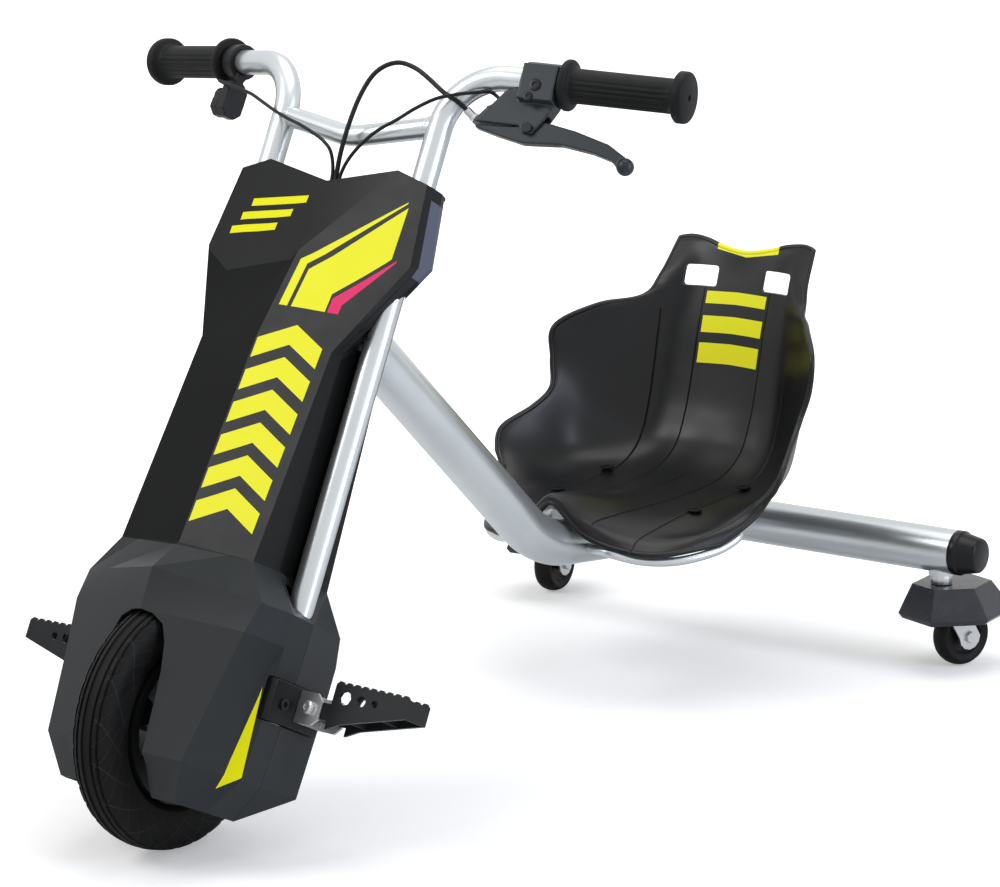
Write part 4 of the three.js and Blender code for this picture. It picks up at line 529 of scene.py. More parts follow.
def tube_data(path, radii, count):
    """Rings of points round a path, with the faces of the tube and its two ends."""
    points, side = [], None
    for i, point in enumerate(path):
        ahead = path[min(i + 1, len(path) - 1)] - point
        behind = point - path[max(i - 1, 0)]
        tangent = (ahead.normalized() + behind.normalized()).normalized()
        if side is None:
            side = Vector((0, 1, 0)).cross(tangent)
        side = (side - tangent * side.dot(tangent)).normalized()
        up = tangent.cross(side)
        radius = radii[i] if isinstance(radii, (list, tuple)) else radii
        points += [point + side * radius * c + up * radius * s for c, s in circle(count, 0.5)]
    ends = [tuple(range(count))[::-1], tuple(range(len(points) - count, len(points)))]
    return points, ring_faces(len(path), count) + ends


def ring_faces(rings, count):
    """The faces between rings of the same number of points."""
    faces = []
    for i in range(rings - 1):
        for k in range(count):
            a, b = i * count + k, i * count + (k + 1) % count
            faces.append((a, b, b + count, a + count))
    return faces


def lathe_data(profile, origin, axis, count):
    """A closed profile of radius and distance, turned about an axis through the origin."""
    axis = Vector(axis).normalized()
    side = axis.orthogonal().normalized()
    up = axis.cross(side)
    points, faces, size = [], [], len(profile)
    for c, s in circle(count):
        out = side * c + up * s
        points += [Vector(origin) + out * r + axis * h for r, h in profile]
    for k in range(count):
        a, b = k * size, ((k + 1) % count) * size
        for i in range(size):
            j = (i + 1) % size
            faces.append((a + i, a + j, b + j, b + i))
    return points, faces


def merged(*parts):
    points, faces = [], []
    for part_points, part_faces in parts:
        offset = len(points)
        points += list(part_points)
        faces += [tuple(i + offset for i in face) for face in part_faces]
    return points, faces


def mirrored(data):
    points, faces = data
    return [Vector((-p[0], p[1], p[2])) for p in points], [tuple(reversed(face)) for face in faces]


def box_data(x0, x1, y0, y1, z0, z1):
    points = [Vector((x, y, z)) for z in (z0, z1) for y in (y0, y1) for x in (x0, x1)]
    faces = [(0, 2, 3, 1), (4, 5, 7, 6), (0, 1, 5, 4), (2, 6, 7, 3), (0, 4, 6, 2), (1, 3, 7, 5)]
    return points, faces


def bent_path(points, radius, steps):
    path = [points[0]]
    for before, corner, after in zip(points, points[1:], points[2:]):
        u, v = (before - corner).normalized(), (after - corner).normalized()
        turn = math.pi - u.angle(v)
        reach = radius * math.tan(turn / 2)
        centre = corner + (u + v).normalized() * math.hypot(radius, reach)
        start, end = corner + u * reach - centre, corner + v * reach - centre
        axis = start.cross(end).normalized()
        path += [centre + Matrix.Rotation(turn * k / steps, 3, axis) @ start for k in range(steps + 1)]
    return path + [points[-1]]


def bead(origin, axis, radius, size):
    """A rippled weld bead round a tube."""
    corners, count, ripples = 8, 64, 20
    ring = [(radius + size * 0.45 * c, size * s) for c, s in circle(corners)]
    points, faces = lathe_data(ring, origin, axis, count)
    for i in range(len(points)):
        wave = 0.12 * size * math.sin((i // corners) * 2 * math.pi * ripples / count)
        points[i] = points[i] + Vector(axis).normalized() * wave
    return points, faces


# Fork and handlebar
GRIP_LINE = Vector((math.cos(SWEEP) * math.cos(RISE), math.sin(SWEEP) * math.cos(RISE), math.sin(RISE)))
BAR_CORNER = Vector((LEG_SPREAD, -LEG_AHEAD, BAR_HEIGHT))
GRIP_INNER = BAR_CORNER + GRIP_LINE * TO_GRIP


def fork_piece():
    neck = GRIP_INNER - GRIP_LINE * (BAR_TAPER + GAP)
    path = bent_path([Vector((LEG_SPREAD, -LEG_AHEAD, LEG_BOTTOM)), BAR_CORNER, neck], BAR_BEND, 24)
    in_grip = [GRIP_INNER - GRIP_LINE * GAP, GRIP_INNER + GRIP_LINE * (GRIP_LENGTH - GRIP_END)]
    leg = tube_data(path + in_grip, [LEG_RADIUS] * len(path) + [BAR_END_RADIUS] * 2, 40)
    reach = LEG_SPREAD - 1.5
    first, last = [Vector((x, -LEG_AHEAD, BRACE_END)) for x in (-reach, reach)]
    middle = Vector((0, -BRACE_AHEAD, BRACE_MIDDLE))
    brace = tube_data(bent_path([first, middle, last], BRACE_BEND, 12), BRACE_RADIUS, 32)
    bead_at = Vector((LEG_SPREAD - LEG_RADIUS + 0.6, -LEG_AHEAD - 0.6, BRACE_END - 2))
    welds = bead(bead_at, Vector((-1, -0.085, -0.19)), BRACE_RADIUS + 0.2, 1.6)
    dropout = box_data(*DROPOUT)
    data = merged(leg, mirrored(leg), brace, welds, mirrored(welds), dropout, mirrored(dropout))
    mesh = mesh_from("fork_mesh", *data, TO_ROW)
    finished("fork_and_bars_piece", mesh, "steering", "silver", ("fork_and_bars",), 32)
    behind, ahead = -LEG_AHEAD + BRIDGE_HALF, -LEG_AHEAD - BRIDGE_HALF
    bridges = [(-LEG_SPREAD, LEG_SPREAD, ahead, behind, top - BRIDGE_THICK, top) for top in BRIDGE_TOPS]
    plates = [box_data(*box) for box in (*bridges, *MOTOR_SHELVES, *GUSSETS)]
    mesh = mesh_from("fork_plates_mesh", *merged(*plates), TO_ROW)
    finished("fork_plates_piece", mesh, "steering", "dark", (), 32, 0.8)


# Main frame
def main_frame_piece():
    behind, height = MAIN_JOIN
    join = Matrix.Rotation(-RAKE, 4, "X") @ Vector((0, -LEG_AHEAD + behind, height))
    start_y, start_z = REAR_START
    rear_slope = (start_z - CROSS_Z) / (CROSS_Y - start_y)
    bend_y = join.z + MAIN_SLOPE * join.y - start_z - rear_slope * start_y
    bend_y /= MAIN_SLOPE - rear_slope
    bend = Vector((0, bend_y, join.z - MAIN_SLOPE * (bend_y - join.y)))
    route = bent_path([join, bend, Vector((0, CROSS_Y, CROSS_Z))], MAIN_BEND, 24)
    main = tube_data(route, TUBE_RADIUS, 64)
    ends = [Vector((x, CROSS_Y, CROSS_Z)) for x in (-CROSS_HALF, CROSS_HALF)]
    cross = tube_data(ends, TUBE_RADIUS, 64)
    weld_at = Vector((0, CROSS_Y - TUBE_RADIUS + 1, CROSS_Z + rear_slope * TUBE_RADIUS))
    weld = bead(weld_at, Vector((0, 1, -rear_slope)), TUBE_RADIUS, 2.4)
    pads = []
    for side, _ in SIDES:
        ends = [Vector((side * CASTER_SPREAD, CROSS_Y, z)) for z in PAD_HEIGHTS]
        pads.append(tube_data(ends, PAD_RADIUS, 32))

    def tube_top(y):
        return CROSS_Z + rear_slope * (CROSS_Y - y) + TUBE_RADIUS

    _, rail_y, rail_top = RAILS[0]
    hoop_route = [Vector((*HOOP_START, tube_top(HOOP_START[1]) - TUBE_RADIUS - HOOP_RADIUS))]
    hoop_route += [seat_surface(u, v) - Vector((0, 0, HOOP_DROP)) for u, v in HOOP_SHARES]
    hoop_route.append(Vector((HOOP_END, rail_y, rail_top - HOOP_RADIUS - GAP)))
    hoop = tube_data(smooth_route(hoop_route, 8), HOOP_RADIUS, 20)
    data = merged(main, cross, weld, hoop, mirrored(hoop), *pads)
    mesh = mesh_from("main_frame_mesh", *data, WORLD)
    finished("main_frame_piece", mesh, "frame", "silver", ("main_frame",), 32)
    head = lathe_data(HEAD_SECTION, (0, -LEG_AHEAD, 0), (0, 0, 1), 48)
    finished("head_tube_piece", mesh_from("head_tube_mesh", *head, TO_ROW), "frame", "silver", (), 32)
    rails = []
    for _, y, top in RAILS:
        rails.append(box_data(-RAIL_HALF, RAIL_HALF, y - RAIL_REACH, y + RAIL_REACH, top - RAIL_THICK, top))
        foot, head = tube_top(y) - TUBE_RADIUS, top - RAIL_THICK / 2
        rails.append(box_data(-POST_HALF, POST_HALF, y - POST_REACH, y + POST_REACH, foot, head))
    mesh = mesh_from("seat_rails_mesh", *merged(*rails), WORLD)
    finished("seat_rails_piece", mesh, "frame", "silver", (), 32, 1.0)


# Seat, from the same net as the part. Each row runs from the middle out to the edge; the three numbers of a
# point are thousandths of the half width, the depth and the height
SEAT_HALF, SEAT_FRONT, SEAT_DEPTH, SEAT_BOTTOM, SEAT_HEIGHT, SEAT_SKIN = 188, 600, 397, 160, 304, 5
SLOT_WIDTH, SLOT_DEPTH, SLOT_HEIGHT, SLOT_CORNER, SLOT_SPREAD, SLOT_SHARE = 42, 200, 24, 4, 52, 0.857
RIM_RADIUS = 3.3
SEAT_NET = [
    [(0, 15, 211), (200, 33, 107), (400, 63, 62), (630, 113, 50), (840, 264, 64)],
    [(0, 30, 237), (200, 55, 153), (400, 100, 97), (650, 171, 85), (893, 315, 107)],
    [(0, 151, 217), (210, 171, 151), (430, 201, 112), (680, 264, 99), (953, 382, 173)],
    [(0, 327, 171), (210, 340, 141), (450, 358, 128), (710, 390, 132), (1006, 401, 244)],
    [(0, 504, 148), (210, 511, 138), (460, 519, 135), (745, 519, 158), (1013, 438, 321)],
    [(0, 680, 158), (220, 680, 155), (480, 675, 158), (755, 630, 217), (933, 542, 383)],
    [(0, 793, 224), (220, 791, 224), (470, 776, 237), (734, 695, 336), (896, 607, 447)],
    [(0, 851, 345), (220, 846, 349), (460, 826, 368), (710, 735, 455), (928, 630, 553)],
    [(0, 887, 493), (210, 882, 500), (450, 856, 513), (680, 771, 582), (927, 642, 675)],
    [(0, 917, 658), (210, 912, 661), (415, 892, 671), (596, 831, 711), (756, 744, 749)],
    [(0, 945, 789), (190, 942, 789), (340, 932, 796), (468, 902, 812), (580, 867, 785)],
    [(0, 967, 882), (170, 967, 888), (298, 962, 895), (414, 942, 898), (522, 916, 863)],
    [(0, 982, 954), (160, 987, 967), (287, 992, 990), (400, 995, 1000), (485, 986, 993)],
]


def extended(points):
    """The points with one more at each end, straight on."""
    return [points[0] * 2 - points[1], *points, points[-1] * 2 - points[-2]]


def spline(points, t):
    """The point at a share of a smooth curve through the points."""
    last = len(points) - 1
    place = min(max(t * last, 0), last)
    i = min(int(place), last - 1)
    s = place - i
    p, q, r, u = extended(points)[i:i + 4]
    squared = (p * 2 - q * 5 + r * 4 - u) * s * s
    return ((q * 2) + (r - p) * s + squared + (q * 3 - p - r * 3 + u) * s ** 3) * 0.5


def net_point(row, column, side):
    x, y, z = [share / 1000 for share in SEAT_NET[row][column]]
    return Vector((side * x * SEAT_HALF, SEAT_FRONT + y * SEAT_DEPTH, SEAT_BOTTOM + z * SEAT_HEIGHT))


def seat_columns():
    last = len(SEAT_NET[0]) - 1
    columns = []
    for j in range(-last, last + 1):
        side = -1 if j < 0 else 1
        columns.append([net_point(row, abs(j), side) for row in range(len(SEAT_NET))])
    return columns


def seat_surface(u, v):
    """The seat's upper skin at a share of its length and of its half width, from -1 to 1."""
    return spline([spline(column, u) for column in seat_columns()], (v + 1) / 2)


def seat_grid(along, across):
    columns = seat_columns()
    grid = []
    for i in range(along + 1):
        crosswise = [spline(column, i / along) for column in columns]
        grid.append([spline(crosswise, j / across) for j in range(across + 1)])
    return grid


def skin_normal(grid, i, j):
    """The upward normal of the seat's skin at a point of the grid."""
    ahead = grid[min(i + 1, len(grid) - 1)][j] - grid[max(i - 1, 0)][j]
    out = grid[i][min(j + 1, len(grid[0]) - 1)] - grid[i][max(j - 1, 0)]
    return out.cross(ahead).normalized()


def rim_bead(grid, radius, count):
    """A round bead that closes on itself along the four edges of the seat."""
    last, end = len(grid) - 1, len(grid[0]) - 1
    places = [(i, 0) for i in range(last)] + [(last, j) for j in range(end)]
    places += [(i, end) for i in range(last, 0, -1)] + [(0, j) for j in range(end, 0, -1)]
    path = [grid[i][j] - skin_normal(grid, i, j) * SEAT_SKIN * 0.55 for i, j in places]
    points, faces, size = [], [], len(path)
    for k, (i, j) in enumerate(places):
        tangent = (path[(k + 2) % size] - path[k - 2]).normalized()
        across = tangent.cross(skin_normal(grid, i, j)).normalized()
        normal = across.cross(tangent).normalized()
        points += [path[k] + (normal * c + across * s) * radius for c, s in circle(count)]
    for k in range(size):
        for n in range(count):
            a, b = k * count + n, k * count + (n + 1) % count
            c = ((k + 1) % size) * count
            faces.append((a, b, c + (n + 1) % count, c + n))
    return points, faces


def skin_data(grid):
    """The seat's upper and lower skin and the band round its edge, which is a little thinner at the rim."""
    along, across = len(grid) - 1, len(grid[0]) - 1
    top, under = [], []
    for i in range(along + 1):
        for j in range(across + 1):
            normal = skin_normal(grid, i, j)
            lift = 0.9 if min(i, along - i, j, across - j) == 0 else 0
            top.append(grid[i][j] - normal * lift)
            under.append(grid[i][j] - normal * (SEAT_SKIN - lift))
    row, count = across + 1, len(top)
    faces = []
    for i in range(along):
        for j in range(across):
            a = i * row + j
            faces.append((a, a + 1, a + row + 1, a + row))
            faces.append((count + a, count + a + row, count + a + row + 1, count + a + 1))
    edges = []
    for i in range(along):
        edges += [(i * row, (i + 1) * row), ((i + 1) * row + across, i * row + across)]
    for j in range(across):
        edges += [(j + 1, j), (along * row + j, along * row + j + 1)]
    return top + under, faces + [(a, b, count + b, count + a) for a, b in edges]


def seat_piece():
    grid = seat_grid(110, 112)
    mesh = mesh_from("seat_mesh", *skin_data(grid), WORLD)
    piece = finished("seat_shell_piece", mesh, "frame", "seat", ("seat_shell",), 50)
    cutters = []
    for side, _ in SIDES:
        cutter = placed("cutter", rounded_block(SLOT_WIDTH, SLOT_DEPTH, SLOT_HEIGHT, SLOT_CORNER))
        y, z = SEAT_FRONT + SEAT_DEPTH * 0.9, SEAT_BOTTOM + SEAT_HEIGHT * SLOT_SHARE
        cutter.location = WORLD @ (Vector((side * SLOT_SPREAD, y, z)) * MM)
        cutters.append(cutter)
        hole = piece.modifiers.new("hole", "BOOLEAN")
        hole.operation = "DIFFERENCE"
        hole.solver = "EXACT"
        hole.object = cutter
    apply_modifiers(piece)
    for cutter in cutters:
        bpy.data.objects.remove(cutter)
    piece.data.shade_smooth()
    piece.data.set_sharp_from_angle(angle=math.radians(50))
    rim = mesh_from("seat_rim_mesh", *rim_bead(grid, RIM_RADIUS, 14), WORLD)
    finished("seat_rim_piece", rim, "frame", "seat", ("seat_shell",), 60)


def rounded_block(width, depth, height, radius):
    """A block along Y whose four long edges are rounded."""
    outline = []
    for cx, cz, start in ((1, 1, 0), (-1, 1, 90), (-1, -1, 180), (1, -1, 270)):
        for k in range(7):
            angle = math.radians(start + 15 * k)
            x = cx * (width / 2 - radius) + radius * math.cos(angle)
            outline.append((x, cz * (height / 2 - radius) + radius * math.sin(angle)))
    points = [Vector((x, y, z)) for y in (-depth / 2, depth / 2) for x, z in outline]
    size = len(outline)
    faces = [(k, (k + 1) % size, size + (k + 1) % size, size + k) for k in range(size)]
    faces += [tuple(range(size)), tuple(range(size, 2 * size))]
    return mesh_from("block", points, faces, Matrix.Identity(4))


def apply_modifiers(piece):
    bpy.context.view_layer.update()
    graph = bpy.context.evaluated_depsgraph_get()
    mesh = bpy.data.meshes.new_from_object(piece.evaluated_get(graph))
    piece.modifiers.clear()
    piece.data = mesh


# Grips: distance from the inner end and radius of each ring, with plain rings between the two flanges
INNER_FLANGE = (
    (0.3, 11.4), (0.3, 22.2), (1.2, 24), (2.8, FLANGE_RADIUS), (6.2, FLANGE_RADIUS), (7.8, 24),
    (8.8, 21.5), (9.6, 18.4), (11, 17.1),
)
OUTER_FLANGE = (
    (113.4, 17.4), (115.4, 20), (116.4, 23.2), (118, FLANGE_RADIUS), (124.6, FLANGE_RADIUS),
    (126.6, 24.2), (GRIP_LENGTH, 22.4), (GRIP_LENGTH, 3.4), (124, 2.6), (124, 0.01),
)
RIBS, RIB_DEPTH, RIBS_START, RIBS_END = 20, 1.1, 16, 110


def grip_piece(side):
    """A grip whose lower half is ribbed along its length."""
    inner = Vector((side * GRIP_INNER.x, GRIP_INNER.y, GRIP_INNER.z))
    axis = Vector((side * GRIP_LINE.x, GRIP_LINE.y, GRIP_LINE.z))
    across = axis.cross(Vector((0, 0, 1))).normalized() * side
    up = across.cross(axis).normalized() * side
    stations = [*INNER_FLANGE, *[(13 + k * 4.1, GRIP_RADIUS) for k in range(25)], *OUTER_FLANGE]
    count = 120
    points = []
    for s, radius in stations:
        for k in range(count):
            angle = 2 * math.pi * k / count
            r = radius
            if RIBS_START < s < RIBS_END and radius == GRIP_RADIUS:
                fade = min(max(0.15 - math.sin(angle), 0) / 0.2, 1)
                r -= RIB_DEPTH * fade * (0.5 + 0.5 * math.cos(angle * RIBS)) ** 2
            points.append(inner + axis * s + (across * math.cos(angle) + up * math.sin(angle)) * r)
    name = "grip_left" if side > 0 else "grip_right"
    mesh = mesh_from(name, points, ring_faces(len(stations), count), TO_ROW)
    finished(name + "_piece", mesh, "steering", "rubber", (name,), 48)


# Front tyre: height above the bead and half width of each ring near the bead; then, up to the middle of the
# tread, the share of the depth below it, the depth of a groove and the half width
TYRE_SIDE = ((0, 14.5), (1.5, 17), (5, 20.4), (6, 21.4), (7, 20.9))
TYRE_TREAD = (
    (0.62, 0, 23.6), (0.5, 0, 24.7), (0.38, 0, 25), (0.27, 0, 24.4), (0.18, 0, 22.9), (0.11, 0, 20.6),
    (0.075, 0, 18.2), (0.072, 1.8, 17.4), (0.06, 1.8, 15.6), (0.045, 0, 14.8), (0.03, 0, 11.6),
    (0.03, 2, 10.8), (0.02, 2, 8.8), (0.02, 0, 8), (0.004, 0, 3.4), (0, 2, 2.6), (0, 2, 0),
)
TYRE_NARROWED = 0.88
# Nicks across the shoulders: depth, half widths from and to, and how far below the tread they reach
NICK_DEPTH, NICK_FROM, NICK_TO, NICK_REACH = 1.2, 12.5, 21, 9


def tyre_piece():
    """The tyre with round grooves and with nicks across its shoulders, which stand apart on the two sides."""
    depth = WHEEL_RADIUS - BEAD_RADIUS
    side = [(BEAD_RADIUS + rise, half) for rise, half in TYRE_SIDE]
    side += [(WHEEL_RADIUS - share * depth - groove, half) for share, groove, half in TYRE_TREAD]
    side = [(r, h * TYRE_NARROWED) for r, h in side]
    profile = side + [(r, -h) for r, h in reversed(side[:-1])]
    centre = Vector((0, -WHEEL_RADIUS * math.sin(RAKE), WHEEL_RADIUS * math.cos(RAKE)))
    count, every, apart = 216, 6, 3
    points, faces = lathe_data(profile, centre, (1, 0, 0), count)
    size = len(profile)
    for k in range(count):
        for i, (r, h) in enumerate(profile):
            on_shoulder = NICK_FROM <= abs(h) <= NICK_TO and r > WHEEL_RADIUS - NICK_REACH
            if on_shoulder and (k + (apart if h > 0 else 0)) % every == 0:
                out = points[k * size + i] - centre
                out.x = 0
                points[k * size + i] -= out.normalized() * NICK_DEPTH
    mesh = mesh_from("tyre", points, faces, TO_ROW)
    finished("front_tyre_piece", mesh, "front_wheel", "tyre", ("front_tyre",), 40)


# Cables along the routes of the part
BRAKE_ROUTE = [
    (127.6, -36.1, 746.6), (125.1, -39.3, 748.6), (122.2, -42.8, 750.8), (116, -49.3, 754.5),
    (104.5, -53.5, 759), (94, -55.5, 765), (84.7, -57.5, 770.7), (65.8, -60.4, 780), (48.7, -65, 782.7),
    (36, -69, 777), (26, -71, 766), (18, -71.5, 744), (13, -70, 713.3), (9, -65, 684), (5.2, -57.5, 664),
    (5, -56.4, 650), (5, -58.4, 638), (5, -60.3, 625), (5, -61.6, 612), (5, -64.5, 592), (5, -68, 566),
    (5, -71, 540), (5, -69, 515), (5, -58, 493), (5, -38, 483), (6, -20, 472), (8, -11, 450), (8, -9, 415),
    (8, -9, 375), (8, -9, 335), (11, -6, 295), (19, -1, 262), (30, 1, 236), (38, 2, 208), (46, 0, 172),
    (54, -6, 142), (57, -12, 117),
]
SWITCH_ROUTE = [
    (152.7, -28.3, 765.1), (147.6, -29.4, 768.5), (143.4, -34.5, 770), (133, -45, 764.5), (121, -55, 758),
    (104, -62.5, 749.5), (86, -67.5, 736), (70.7, -69, 723.8), (46.6, -69, 707.9), (30, -68, 690.5),
    (16, -61.5, 676), (10.2, -57.5, 664), (9.8, -56, 650), (9.8, -57.5, 636), (9.8, -59.5, 623),
    (9.8, -61.5, 606), (12, -65, 580), (16, -68, 550), (19, -68, 520), (20, -65, 490), (20, -62, 465),
    (20, -62, 441.5),
]
THROTTLE_ROUTE = [
    (-202.1, -26.2, 761.6), (-203.1, -31, 761.6), (-201.5, -36, 760.8), (-196, -39.5, 759.3),
    (-186, -42.5, 756.8), (-172, -45.5, 753), (-154, -48, 748.3), (-140.4, -49, 744.3),
    (-124.5, -51.5, 737.7), (-98.8, -58, 727), (-74, -62, 717.9), (-51.9, -66, 711), (-28.3, -68, 702.1),
    (-14.5, -68, 695.6), (-5, -66, 688), (-1, -62, 678), (0.2, -57.5, 665), (0.2, -56.5, 650),
    (0.2, -58, 638), (0.2, -60, 625), (0.2, -62, 608), (-2, -65, 585), (-8, -69, 552), (-16, -68, 520),
    (-20, -64, 490), (-20, -62, 465), (-20, -62, 441.5),
]


def blend(p, q, start, end, t):
    """The point that is p at start and q at end."""
    return p * ((end - t) / (end - start)) + q * ((t - start) / (end - start))


def smooth_route(route, steps):
    """Centripetal curve through the points, as the part's cables follow."""
    chain = extended([Vector(p) for p in route])
    path = []
    for p0, p1, p2, p3 in zip(chain, chain[1:], chain[2:], chain[3:]):
        t1 = (p1 - p0).length ** 0.5
        t2 = t1 + (p2 - p1).length ** 0.5
        t3 = t2 + (p3 - p2).length ** 0.5
        for k in range(steps):
            t = t1 + (t2 - t1) * k / steps
            a1 = blend(p0, p1, 0, t1, t)
            a2 = blend(p1, p2, t1, t2, t)
            a3 = blend(p2, p3, t2, t3, t)
            path.append(blend(blend(a1, a2, 0, t2, t), blend(a2, a3, t1, t3, t), t1, t2, t))
    return path + [chain[-2]]


def cable_pieces():
    thick, thin = 2.4, 1.8
    for name, route, radius in (
        ("brake_cable", BRAKE_ROUTE, thick),
        ("switch_wire", SWITCH_ROUTE, thin),
        ("throttle_wire", THROTTLE_ROUTE, thin),
    ):
        mesh = mesh_from(name, *tube_data(smooth_route(route, 8), radius, 16), TO_ROW)
        finished(name + "_piece", mesh, "steering", "sheath", (name,), 60)


# Small fasteners
def socket_screw(name, origin, axis, radius, height, material="steel"):
    """A round screw head with a hexagonal socket, on the steering body."""
    axis = Vector(axis).normalized()
    side = axis.orthogonal().normalized()
    up = axis.cross(side)
    count = 24
    points = []
    for share, level in ((0.96, 0), (1, 0.15), (1, 0.8), (0.86, 1), (0, 1), (0, 0.3)):
        for k in range(count):
            angle = 2 * math.pi * k / count
            sector = (angle + math.pi / 6) % (math.pi / 3) - math.pi / 6
            socket = radius * 0.5 * math.cos(math.pi / 6) / math.cos(sector)
            r = radius * share if share else socket
            out = side * math.cos(angle) + up * math.sin(angle)
            points.append(Vector(origin) + axis * (level * height) + out * r)
    rings = len(points) // count
    ends = [tuple(range(count)), tuple(range((rings - 1) * count, rings * count))]
    mesh = mesh_from(name, points, ring_faces(rings, count) + ends, TO_ROW)
    finished(name, mesh, "steering", material)


def bar_point(side, a, y, z):
    """A point of the bar frame: a along the bar outward, y square to it, z up from it."""
    across = Vector((-math.sin(SWEEP), math.cos(SWEEP), 0))
    up = GRIP_LINE.cross(across)
    point = GRIP_INNER + GRIP_LINE * a + across * y + up * z
    return Vector((side * point.x, point.y, point.z))


def fasteners():
    across = Vector((-math.sin(SWEEP), math.cos(SWEEP), 0))
    for k, (a, z, radius) in enumerate(((-21.6, -9.5, 6), (-26.1, -21.7, 4.8))):
        socket_screw(f"perch_screw_{k}", bar_point(1, a, -19.5, z), -across, radius, 1.4, "dark")
    for side, word in SIDES:
        outward, ahead = Vector((side, 0, 0)), Vector((0, -1, 0))
        socket_screw(f"peg_block_screw_{word}", Vector((side * 121, -51, 149)), outward, 5.6, 2.6, "dark")
        socket_screw(f"peg_pin_screw_{word}", Vector((side * 135, -34.2, 153)), ahead, 6.6, 1.6)


def lever_knob():
    """The smooth ball on the lever's tip."""
    radius = 8.6
    origin = bar_point(1, 80, 0, -74.5)
    axis = (bar_point(1, 86, 0, -78.4) - origin).normalized()
    angles = [math.radians(t) for t in range(-75, 76, 10)]
    ball = [(radius * math.cos(t), radius * math.sin(t)) for t in angles]
    profile = [(0.01, -radius), *ball, (0.01, radius)]
    mesh = mesh_from("lever_knob", *lathe_data(profile, origin, axis, 48), TO_ROW)
    finished("lever_knob_piece", mesh, body_holding("brake_lever"), "lever", ("brake_lever",), 50)


# Pieces on both sides: material and bevel, then, where not the usual, segments, angle and crispness
PAIRED = {
    "foot_peg": ("dark", 0.7), "peg_block": ("black", 1.2, 3), "peg_clevis": ("steel", 0.5),
    "peg_pin": ("steel", 0.4, 2, 40), "caster_skirt": ("skirt", 1.4, 3, 60, True),
    "caster_fork": ("steel", 0.6, 2, 40), "caster_stem": ("steel", 0.5, 2, 40),
    "caster_axle": ("steel", 0.4, 2, 40),
}


def dress_the_rest():
    """The pieces that keep the shape of the part's solids."""
    for name in ("shroud_front", "shroud_rear"):
        dressed(name, "shroud", 0.9, 2, 60, True)
    for side in ("left", "right"):
        for name, looks in PAIRED.items():
            dressed(f"{name}_{side}", *looks)
    cast("brake_perch", "lever")
    cast("brake_lever", "lever")
    dressed("lever_pivot_bolt", "dark", 0.6, 2, 40)
    dressed("barrel_adjuster", "steel", 0.3, 2, 40)
    cast("throttle_housing", "black")
    cast("throttle_paddle", "black")
    head = ("head_cup_lower", "head_cup_upper", "steering_bolt")
    drive = ("front_axle", "brake_drum", "wheel_sprocket", "motor_sprocket", "chain")
    for name in (*head, *drive):
        dressed(name, "steel", 0.3, 2, 40)
    for name in ("front_rim", "motor", "band_brake", "controller"):
        dressed(name, "dark", 0.4, 2, 40)
    dressed("battery", "battery", 1.0, 3)
    for name in ("switch_bezel", "power_switch", "charge_socket"):
        dressed(name, "black", 0.4, 2, 40)


def turned(node, profile, origin, axis, material, place=WORLD, count=72, angle=30):
    """A node of round section, turned with a smooth outline; the profile closes on itself."""
    mesh = mesh_from(node + "_piece", *lathe_data(profile, origin, axis, count), place)
    finished(node + "_piece", mesh, body_holding(node), material, (node,), angle)


# Radius and distance of each corner: of an end cap from its inner end, of one half of a caster's tyre and of
# its core from the middle, of a seat bolt from its top downward
CAP_PROFILE = [
    (0.01, 0), (25.2, 0), (25.4, 0.6), (25.4, 7.4), (25, 8.2), (23.7, 9.4), (23.2, 11), (19.9, 27.6),
    (19.3, 29.4), (18, 30.6), (17, 31), (0.01, 31),
]
CASTER_TYRE_HALF = [(23.3, 9.6), (27, 11), (29.4, 11.8), (31.6, 11), (33.4, 8.4), (34.4, 5.6), (35, 2.6)]
CASTER_CORE_HALF = [
    (4.4, 12), (7.6, 12), (8, 11.6), (8, 4.4), (9, 4), (18.4, 4), (19.4, 4.6), (22.4, 9.6), (23, 9.6),
]
BOLT_PROFILE = [
    (0.01, 18), (3.6, 18), (3.6, 2.6), (8, 2.6), (8, 1.6), (7.4, 1.1), (5.4, 0.9), (3.4, 0.9), (3.2, 1.7),
    (0.01, 1.7),
]


def round_pieces():
    cap = [(r, CROSS_HALF + GAP + h) for r, h in CAP_PROFILE]
    halves = (CASTER_TYRE_HALF, CASTER_CORE_HALF)
    tyre, core = [half + [(r, -h) for r, h in reversed(half)] for half in halves]
    wheel_at, axle = (0, 30, 35), (1, 0, 0)
    for side, word in SIDES:
        turned(f"end_cap_{word}", cap, (0, CROSS_Y, CROSS_Z), (side, 0, 0), "satin")
        kingpin = WORLD @ Matrix.Translation(Vector((side * CASTER_SPREAD, CROSS_Y, 0)) * MM)
        kingpin = kingpin @ Matrix.Rotation(math.radians(CASTER_SWIVEL[word]), 4, "Z")
        turned(f"caster_tyre_{word}", tyre, wheel_at, axle, "small_tyre", kingpin, 96, 50)
        turned(f"caster_core_{word}", core, wheel_at, axle, "core", kingpin)
        for row, y, _ in RAILS:
            node = f"seat_bolt_{row}_{word}"
            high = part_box(node)[1].z / MM
            profile = [(r, high - down) for r, down in BOLT_PROFILE]
            turned(node, profile, (side * SEAT_BOLT_SPREAD, y, 0), (0, 0, 1), "bolt")


def lamp(name, place, target, size, power, colour=(1, 1, 1)):
    data = bpy.data.lights.new(name, "AREA")
    data.shape = "RECTANGLE"
    data.size, data.size_y = size
    data.energy = power
    data.color = colour
    holder = placed(name, data)
    holder.location = place
    holder.rotation_euler = (Vector(target) - Vector(place)).to_track_quat("-Z", "Y").to_euler()


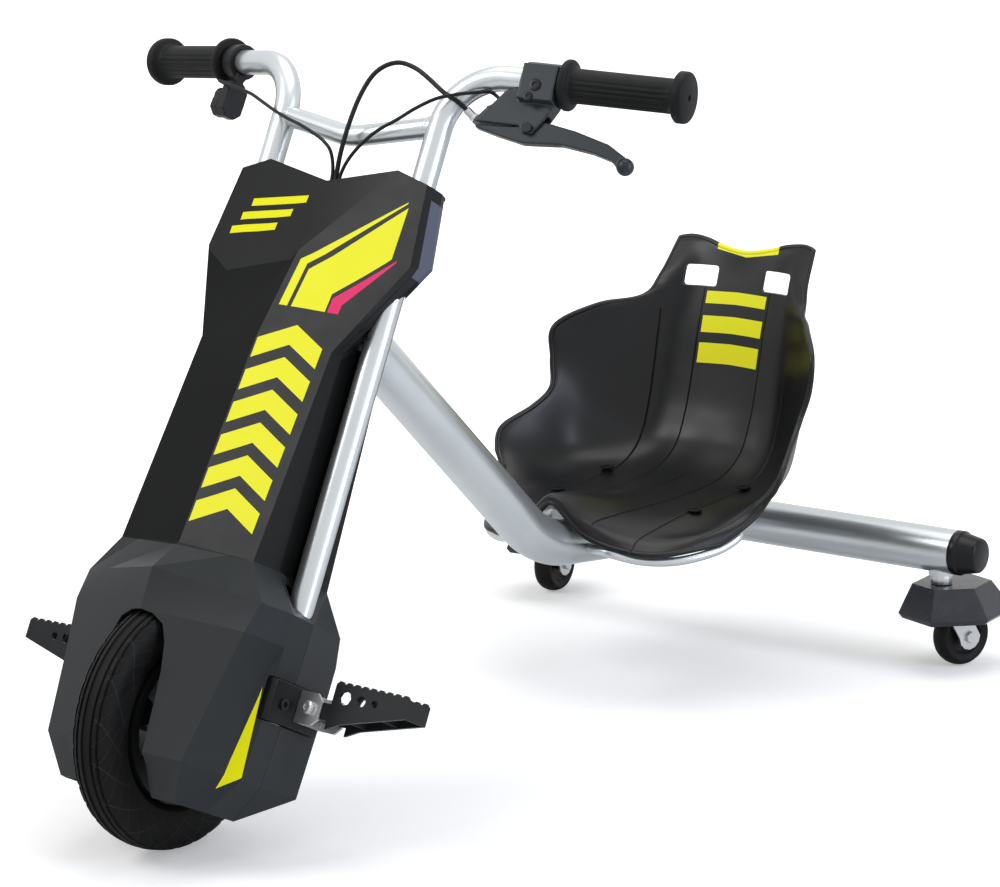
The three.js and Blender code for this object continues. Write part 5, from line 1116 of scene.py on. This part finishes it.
def seen_directly(tree):
    """One for camera, glossy and transmission rays, nought for the light that falls on the object."""
    path = tree.nodes.new("ShaderNodeLightPath")
    kinds = ("Camera", "Glossy", "Transmission")
    return any_of(Value(tree, path.outputs[f"Is {kind} Ray"]) for kind in kinds)


def make_stage():
    world = bpy.data.worlds.new("studio")
    bpy.context.scene.world = world
    world.use_nodes = True
    tree = world.node_tree
    background = tree.nodes["Background"]
    background.inputs["Color"].default_value = (1, 1, 1, 1)
    strength = seen_directly(tree) * 0.55 + 0.45
    tree.links.new(strength.socket, background.inputs["Strength"])
    mesh = bpy.data.meshes.new("floor")
    reach, drop = 14, 0.0005
    corners = [(-reach, -reach, 0), (reach, -reach, 0), (reach, reach, 0), (-reach, reach, 0)]
    mesh.from_pydata(corners, [], [(0, 1, 2, 3)])
    floor = placed("floor", mesh)
    floor.location.z = -drop
    material, tree, principled = new_material("pale_floor")
    set_inputs(principled, {"Base Color": (0.9, 0.9, 0.9, 1), "Emission Color": (1, 1, 1, 1)})
    set_inputs(principled, {"Roughness": 0.9, "Specular IOR Level": 0})
    path = tree.nodes.new("ShaderNodeLightPath")
    place = tree.nodes.new("ShaderNodeTexCoord")
    away = tree.nodes.new("ShaderNodeVectorMath")
    away.operation = "LENGTH"
    tree.links.new(place.outputs["Object"], away.inputs[0])
    far = Value(tree, away.outputs["Value"]) * 0.55 - 0.3
    far = far.made_by("MAXIMUM", 0).made_by("MINIMUM", 0.7)
    glow = Value(tree, path.outputs["Is Camera Ray"]) & (far + 0.3)
    tree.links.new(glow.socket, principled.inputs["Emission Strength"])
    mesh.materials.append(material)
    lamp("key", (-1.6, -2.6, 2.9), (0, 0, 0.35), (1.6, 1.6), 55)
    lamp("side", (2.9, 0.3, 1.3), (0, 0, 0.4), (1.0, 2.0), 40, (0.76, 0.83, 1.0))
    lamp("top", (0, 0.4, 3.2), (0, 0, 0), (2.6, 2.0), 36)


make_camera()
make_materials()
fork_piece()
main_frame_piece()
seat_piece()
grip_piece(1)
grip_piece(-1)
tyre_piece()
cable_pieces()
dress_the_rest()
round_pieces()
lever_knob()
fasteners()
make_stage()
bpy.context.scene.view_settings.view_transform = "Standard"
